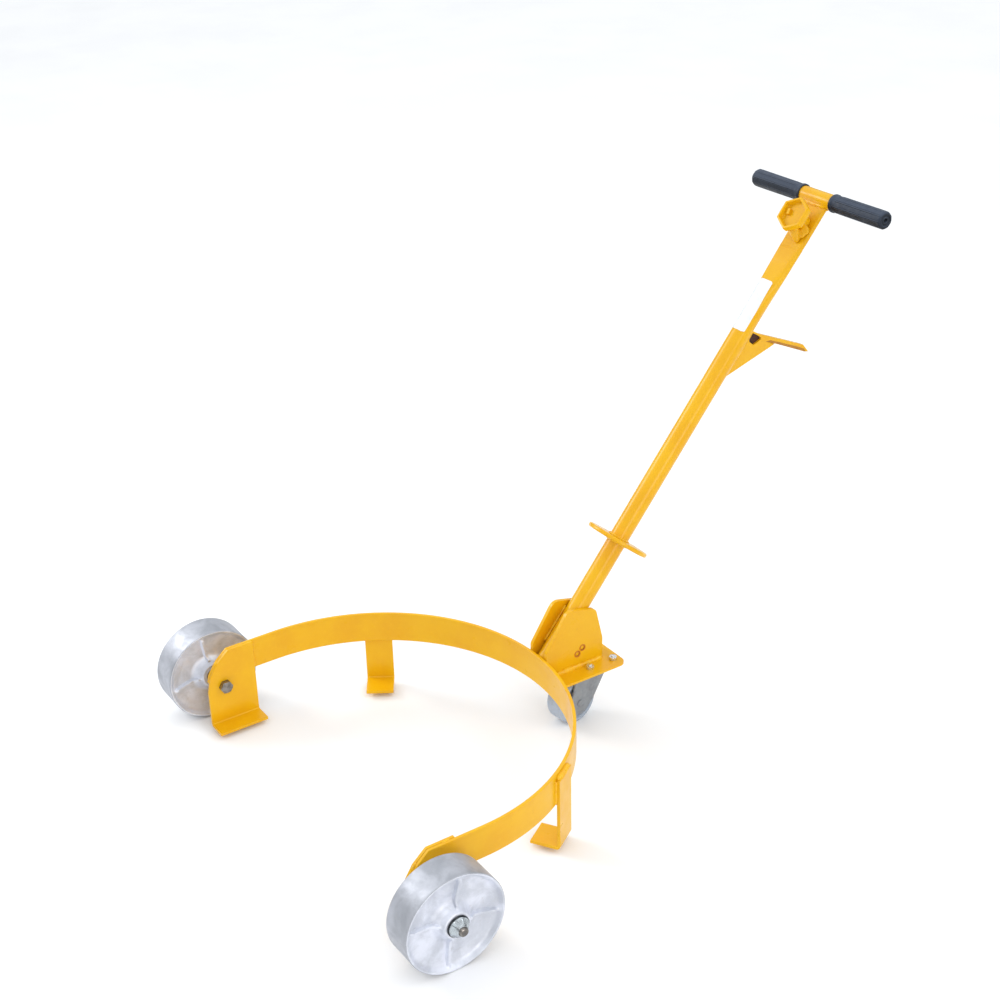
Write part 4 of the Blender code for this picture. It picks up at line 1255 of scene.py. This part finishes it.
def bung_wrench():
    """The cast six-sided cup: a raised rim round a shallow recess, tapering below to its neck."""
    face = tube_section(WRENCH_ALONG)[1] / 2 + GAP
    rim = WRENCH_HEIGHT

    def hexed(corner, softness):
        """A hexagon whose corners are softened towards a circle."""
        shape = hex_radius(corner, 30)
        return lambda angle: shape(angle) * (1 - softness) + corner * 0.90 * softness

    stations = [
        (0.0100, face + 0.0080),
        (0.0104, face + 0.0105),
        (hexed(0.0165, 0.7), rim - 0.0165),
        (hexed(0.0225, 0.35), rim - 0.0138),
        (hexed(0.0262, 0.12), rim - 0.0118),
        (hexed(WRENCH_CORNER - 0.0002, 0.06), rim - 0.0100),
        (hexed(WRENCH_CORNER, 0.05), rim - 0.0080),
        (hexed(WRENCH_CORNER, 0.05), rim - 0.0012),
        (hexed(WRENCH_CORNER - 0.0006, 0.05), rim - 0.0002),
        (hexed(WRENCH_CORNER - 0.0014, 0.05), rim),
        (hexed(WRENCH_CORNER - 0.0034, 0.04), rim),
        (hexed(WRENCH_CORNER - 0.0042, 0.04), rim - 0.0005),
        (hexed(WRENCH_CORNER - 0.0050, 0.04), rim - 0.0070),
        (hexed(WRENCH_CORNER - 0.0062, 0.08), rim - 0.0083),
        (hexed(WRENCH_CORNER - 0.0090, 0.15), rim - 0.0085),
        (0.0060, rim - 0.0085),
    ]
    rings = [ring_of(radius, height, 96) for radius, height in stations]
    place = on_handle(WRENCH_ALONG)
    finish_piece("wrench_cup", skin(rings), place, YELLOW, ["bung_wrench"])
    wrench_lug(place @ Matrix.Translation((-0.0115, 0.0015, rim - 0.0064)))
    wrench_foot(place, face, rim)


def wrench_lug(place):
    """The small bar that stands in the cup."""
    x, y = 0.0024, 0.0046
    corners = [(-x, -y, 0.0005), (x, -y, 0.0005), (x, y, 0.0005), (-x, y, 0.0005)]
    mesh = flat_solid([rounded(corners, 3)], 0.0060, place @ Matrix.Rotation(math.radians(14), 4, "Z"))
    plate_piece("wrench_lug", mesh, YELLOW, [], width=0.0006)


def wrench_foot(place, face, rim):
    """The cup's neck, its arm and two side lumps run into one. Each is (across, down, height, radius)."""
    arm = [
        (0.0074, 0.0290, face - 0.0002, 0.0048),
        (0.0070, 0.0278, face + 0.0030, 0.0056),
        (0.0056, 0.0240, face + 0.0080, 0.0070),
        (0.0046, 0.0210, face + 0.0120, 0.0078),
        (0.0022, 0.0150, face + 0.0180, 0.0090),
        (0.0000, 0.0085, rim - 0.0110, 0.0095),
    ]
    lobe = [
        (0.0140, 0.0120, face - 0.0002, 0.0068),
        (0.0136, 0.0110, face + 0.0025, 0.0066),
        (0.0118, 0.0090, face + 0.0050, 0.0058),
        (0.0080, 0.0060, face + 0.0085, 0.0050),
        (0.0040, 0.0030, face + 0.0120, 0.0040),
    ]
    web = [
        (0.0108, 0.0185, face - 0.0002, 0.0068),
        (0.0104, 0.0170, face + 0.0036, 0.0062),
        (0.0060, 0.0100, face + 0.0090, 0.0060),
    ]
    neck = [
        (0.0, 0.0, face - 0.0002, 0.0118),
        (0.0, 0.0, face + 0.0040, 0.0108),
        (0.0, 0.0, rim - 0.0118, 0.0112),
    ]
    lumps = []
    for sections in (neck, arm, lobe, web):
        rings = []
        for across, down, height, radius in sections:
            rings.append([(x + across, y - down, z) for x, y, z in ring_of(radius, height, 64)])
        lumps.append(skin(rings))
    finish_piece("wrench_foot", blended(lumps, 0.0006, 60), place, YELLOW)


def seal_remover():
    """The pry plate behind the tube, with a notch at its root and a ground chisel end."""
    root = -(TUBE_RADIUS + GAP)
    top = 0.7464
    rise = 0.2748
    corners = [
        (root, 0.6700, 0),
        (-0.0740, 0.7575, 0.012),
        (-0.1414, 0.7745, 0),
        (-0.1487, 0.7785, 0),
        (-0.1305, top + rise * 0.1305, 0),
        (-0.0330, top + rise * 0.0330, 0.020),
        (root, top - rise * root + 0.0024, 0),
    ]
    hole = [
        (-0.0192, 0.7508, 0.0020),
        (-0.0198, 0.7368, 0.0045),
        (-0.0345, 0.7362, 0.0055),
        (-0.0428, 0.7528, 0.0026),
        (-0.0300, 0.7522, 0.0060),
    ]
    loops = []
    for shape in (corners, hole):
        loops.append(rounded([(-behind, along, radius) for behind, along, radius in shape], 8))
    place = on_handle(0) @ axes((0, 0, -1), (0, 1, 0), (0, 0, 0))
    mesh = flat_solid(loops, REMOVER_PLATE, place)
    # The near lower side of the finger is ground to a bevel, which runs out at both ends
    side = REMOVER_PLATE / 2
    rings = []
    bevel = [(0.036, 0.052, 0.0), (0.060, 0.076, 1.0), (0.124, 0.134, 1.0), (0.138, 0.148, 0.0)]
    for behind_top, behind_low, depth in bevel:
        high = top + rise * behind_top - 0.0046 - 0.0012 * (1 - depth)
        low = 0.7575 + 0.2522 * (behind_low - 0.0740) - 0.0006
        ring = [(side + 0.0003, high, -behind_top), (side + 0.0040, high, -behind_top)]
        ring.append((side + 0.0040, low - 0.004, -behind_low))
        ring.append((side + 0.0002 - 0.0030 * depth, low, -behind_low))
        rings.append([on_handle(0) @ Vector(point) for point in ring])
    mesh = trimmed(mesh, skin(rings), "DIFFERENCE")
    pry = plate_piece("pry_plate", mesh, YELLOW, ["seal_remover"], width=0.0007)
    # The bevel's faces, which point out and down, get the darker yellow-brown: painted shade
    repaint(pry, BEVEL_SHADE, lambda face: 0.70 < face.normal.x < 0.97 and face.area > 0.000004)
    # A near-black sheet closes the notch on its far side: painted shade for the notch's dark inside
    back = [(0.0175, 0.7520, 0), (0.0175, 0.7345, 0), (0.0380, 0.7345, 0), (0.0460, 0.7545, 0)]
    mesh = flat_solid([rounded(back, 2)], 0.0012, place)
    plate_piece("notch_shade_sheet", mesh, NOTCH_SHADE, [], width=0.0002)
    crown = on_handle(top - rise * root + 0.0004, root - 0.0012)
    crest = [crown @ Vector((x, 0, 0)) for x in (-0.0036, 0, 0.0036)]
    bead("weld_remover_top", crest, 0.0030)
    for side, word in ((-1, "left"), (1, "right")):
        x = side * (REMOVER_PLATE / 2 + 0.0003)
        points = [on_handle(along, root - 0.0004) @ Vector((x, 0, 0)) for along in (0.674, 0.7385)]
        bead("weld_remover_" + word, line(*points, steps=12), 0.0024)


def blank_label():
    """A blank sticker, bent round the front of the tube, with rounded corners."""
    low, high = LABEL_ALONG
    rows, columns = 48, 40
    reach = 1.02  # radians round the tube, to each side of its front
    corner = 0.003
    solid = bmesh.new()
    layers = []
    for lift in (0.00020, 0.00055):
        grid = []
        for row in range(rows + 1):
            points = []
            for column in range(columns + 1):
                along = low + (high - low) * row / rows
                angle = math.pi / 2 + reach * (2 * column / columns - 1)
                width, thickness = tube_section(along)
                half = (width - thickness) / 2
                edge = min(along - low, high - along)
                into = max(0.0, corner - edge)
                pull = corner - math.sqrt(max(0.0, corner**2 - into**2))
                across = (LABEL_HALF_WIDTH - pull) * math.cos(angle) / math.sin(reach)
                beyond = math.copysign(max(0.0, abs(across) - half) / (thickness / 2), across)
                radius = thickness / 2 + lift
                across = max(-half, min(half, across)) + radius * beyond
                points.append(solid.verts.new((-across, along, radius * math.sqrt(1 - beyond**2))))
            grid.append(points)
        layers.append(grid)
    under, over = layers
    for row in range(rows):
        for column in range(columns):
            for grid in layers:
                low_row, high_row = grid[row], grid[row + 1]
                square = (low_row[column], low_row[column + 1], high_row[column + 1], high_row[column])
                solid.faces.new(square if grid is over else square[::-1])
    border = [(0, column) for column in range(columns)] + [(row, columns) for row in range(rows)]
    border += [(rows, columns - column) for column in range(columns)]
    border += [(rows - row, 0) for row in range(rows)]
    for (row, column), (next_row, next_column) in zip(border, border[1:] + border[:1]):
        low_side = (under[row][column], under[next_row][next_column])
        solid.faces.new((*low_side, over[next_row][next_column], over[row][column]))
    bmesh.ops.recalc_face_normals(solid, faces=solid.faces)
    finish_piece("label", mesh_from(solid, "label"), on_handle(0), PAPER, ["blank_label"])


# ---------------------------------------------------------------- studio


def aim(obj, place, target):
    obj.location = place
    obj.rotation_mode = "QUATERNION"
    obj.rotation_quaternion = (Vector(target) - Vector(place)).to_track_quat("-Z", "Y")


def area_light(name, place, target, size, power, colour=(1, 1, 1)):
    light = bpy.data.lights.new(name, "AREA")
    light.shape = "RECTANGLE"
    light.size, light.size_y = size
    light.energy = power
    light.color = colour
    aim(add_object(name, light), place, target)


def soft_sun(name, place, spread_degrees, strength, colour):
    """Even, soft light from far away, so that the floor stays pale to the horizon."""
    light = bpy.data.lights.new(name, "SUN")
    light.angle = math.radians(spread_degrees)
    light.energy = strength
    light.color = colour
    aim(add_object(name, light), place, (0, 0, 0))


def pale_ground():
    """The floor, wide enough to reach the horizon."""
    reach = 30.0
    corners = [(-reach, -reach, 0), (reach, -reach, 0), (reach, reach, 0), (-reach, reach, 0)]
    mesh = bpy.data.meshes.new("floor")
    mesh.from_pydata(corners, [], [(0, 1, 2, 3)])
    mesh.materials.append(pale_floor())
    floor = add_object("floor", mesh)


def bright_ceiling():
    """Soft light from all round, weak at the horizon and stronger overhead."""
    world = bpy.data.worlds.new("studio")
    world.use_nodes = True
    tree = world.node_tree
    direction = tree.nodes.new("ShaderNodeTexCoord").outputs["Generated"]
    height = tree.nodes.new("ShaderNodeSeparateXYZ")
    tree.links.new(direction, height.inputs["Vector"])
    ceiling = tree.nodes.new("ShaderNodeMapRange")
    ceiling.interpolation_type = "SMOOTHSTEP"
    for key, value in (("From Min", 0.0), ("From Max", 0.62), ("To Min", 0.14), ("To Max", 1.20)):
        ceiling.inputs[key].default_value = value
    tree.links.new(height.outputs["Z"], ceiling.inputs["Value"])
    backdrop = tree.nodes["Background"]
    backdrop.inputs["Color"].default_value = (0.95, 0.975, 1.0, 1)
    tree.links.new(ceiling.outputs["Result"], backdrop.inputs["Strength"])
    bpy.context.scene.world = world


def studio():
    pale_ground()
    bright_ceiling()
    middle = (0.0, 0.15, 0.40)
    soft_sun("sun", (2.4, 0.3, 1.8), 40, 0.12, (1.0, 0.985, 0.96))
    area_light("key", (2.95, -0.60, 0.95), middle, (1.6, 0.75), 21, (1.0, 0.94, 0.90))
    area_light("softbox", (-2.6, -1.7, 1.9), (0, 0.2, 0.6), (1.3, 1.3), 41)
    area_light("rim", (1.9, 1.9, 3.0), middle, (1.0, 1.0), 8)


def camera():
    view = Vector((-0.7583, 0.4556, -0.4663)).normalized()
    right = Vector((0.5324, 0.8456, -0.0397))
    right = (right - view * right.dot(view)).normalized()
    up = right.cross(view)
    turn = Matrix((right, up, -view)).transposed().to_4x4()
    data = bpy.data.cameras.new("camera")
    data.sensor_width = 36
    data.lens = 62.117
    data.shift_x = 0.06344
    data.shift_y = 0.0082
    data.clip_start = 0.05
    data.clip_end = 200
    obj = add_object("camera", data)
    obj.matrix_world = Matrix.Translation((1.8477, DRUM_Y - 0.9775, 1.5823)) @ turn
    bpy.context.scene.camera = obj


def build():
    drum_band()
    lift_strap("right", STRAP_ANGLE)
    lift_strap("left", math.pi - STRAP_ANGLE)
    for side, word in ((-1, "left"), (1, "right")):
        wheel_bracket(side, word)
        axle(side, word)
        wheel(side, word)
        gusset(side, word)
    rear_plate()
    caster()
    mount_fasteners()
    handle_tube()
    crossbar()
    step_disc()
    bung_wrench()
    seal_remover()
    blank_label()


noise.seed_set(1)  # without it the clock would seed the weld beads' noise
build()
studio()
camera()
bpy.context.scene.view_settings.view_transform = "Standard"
bpy.context.view_layer.update()
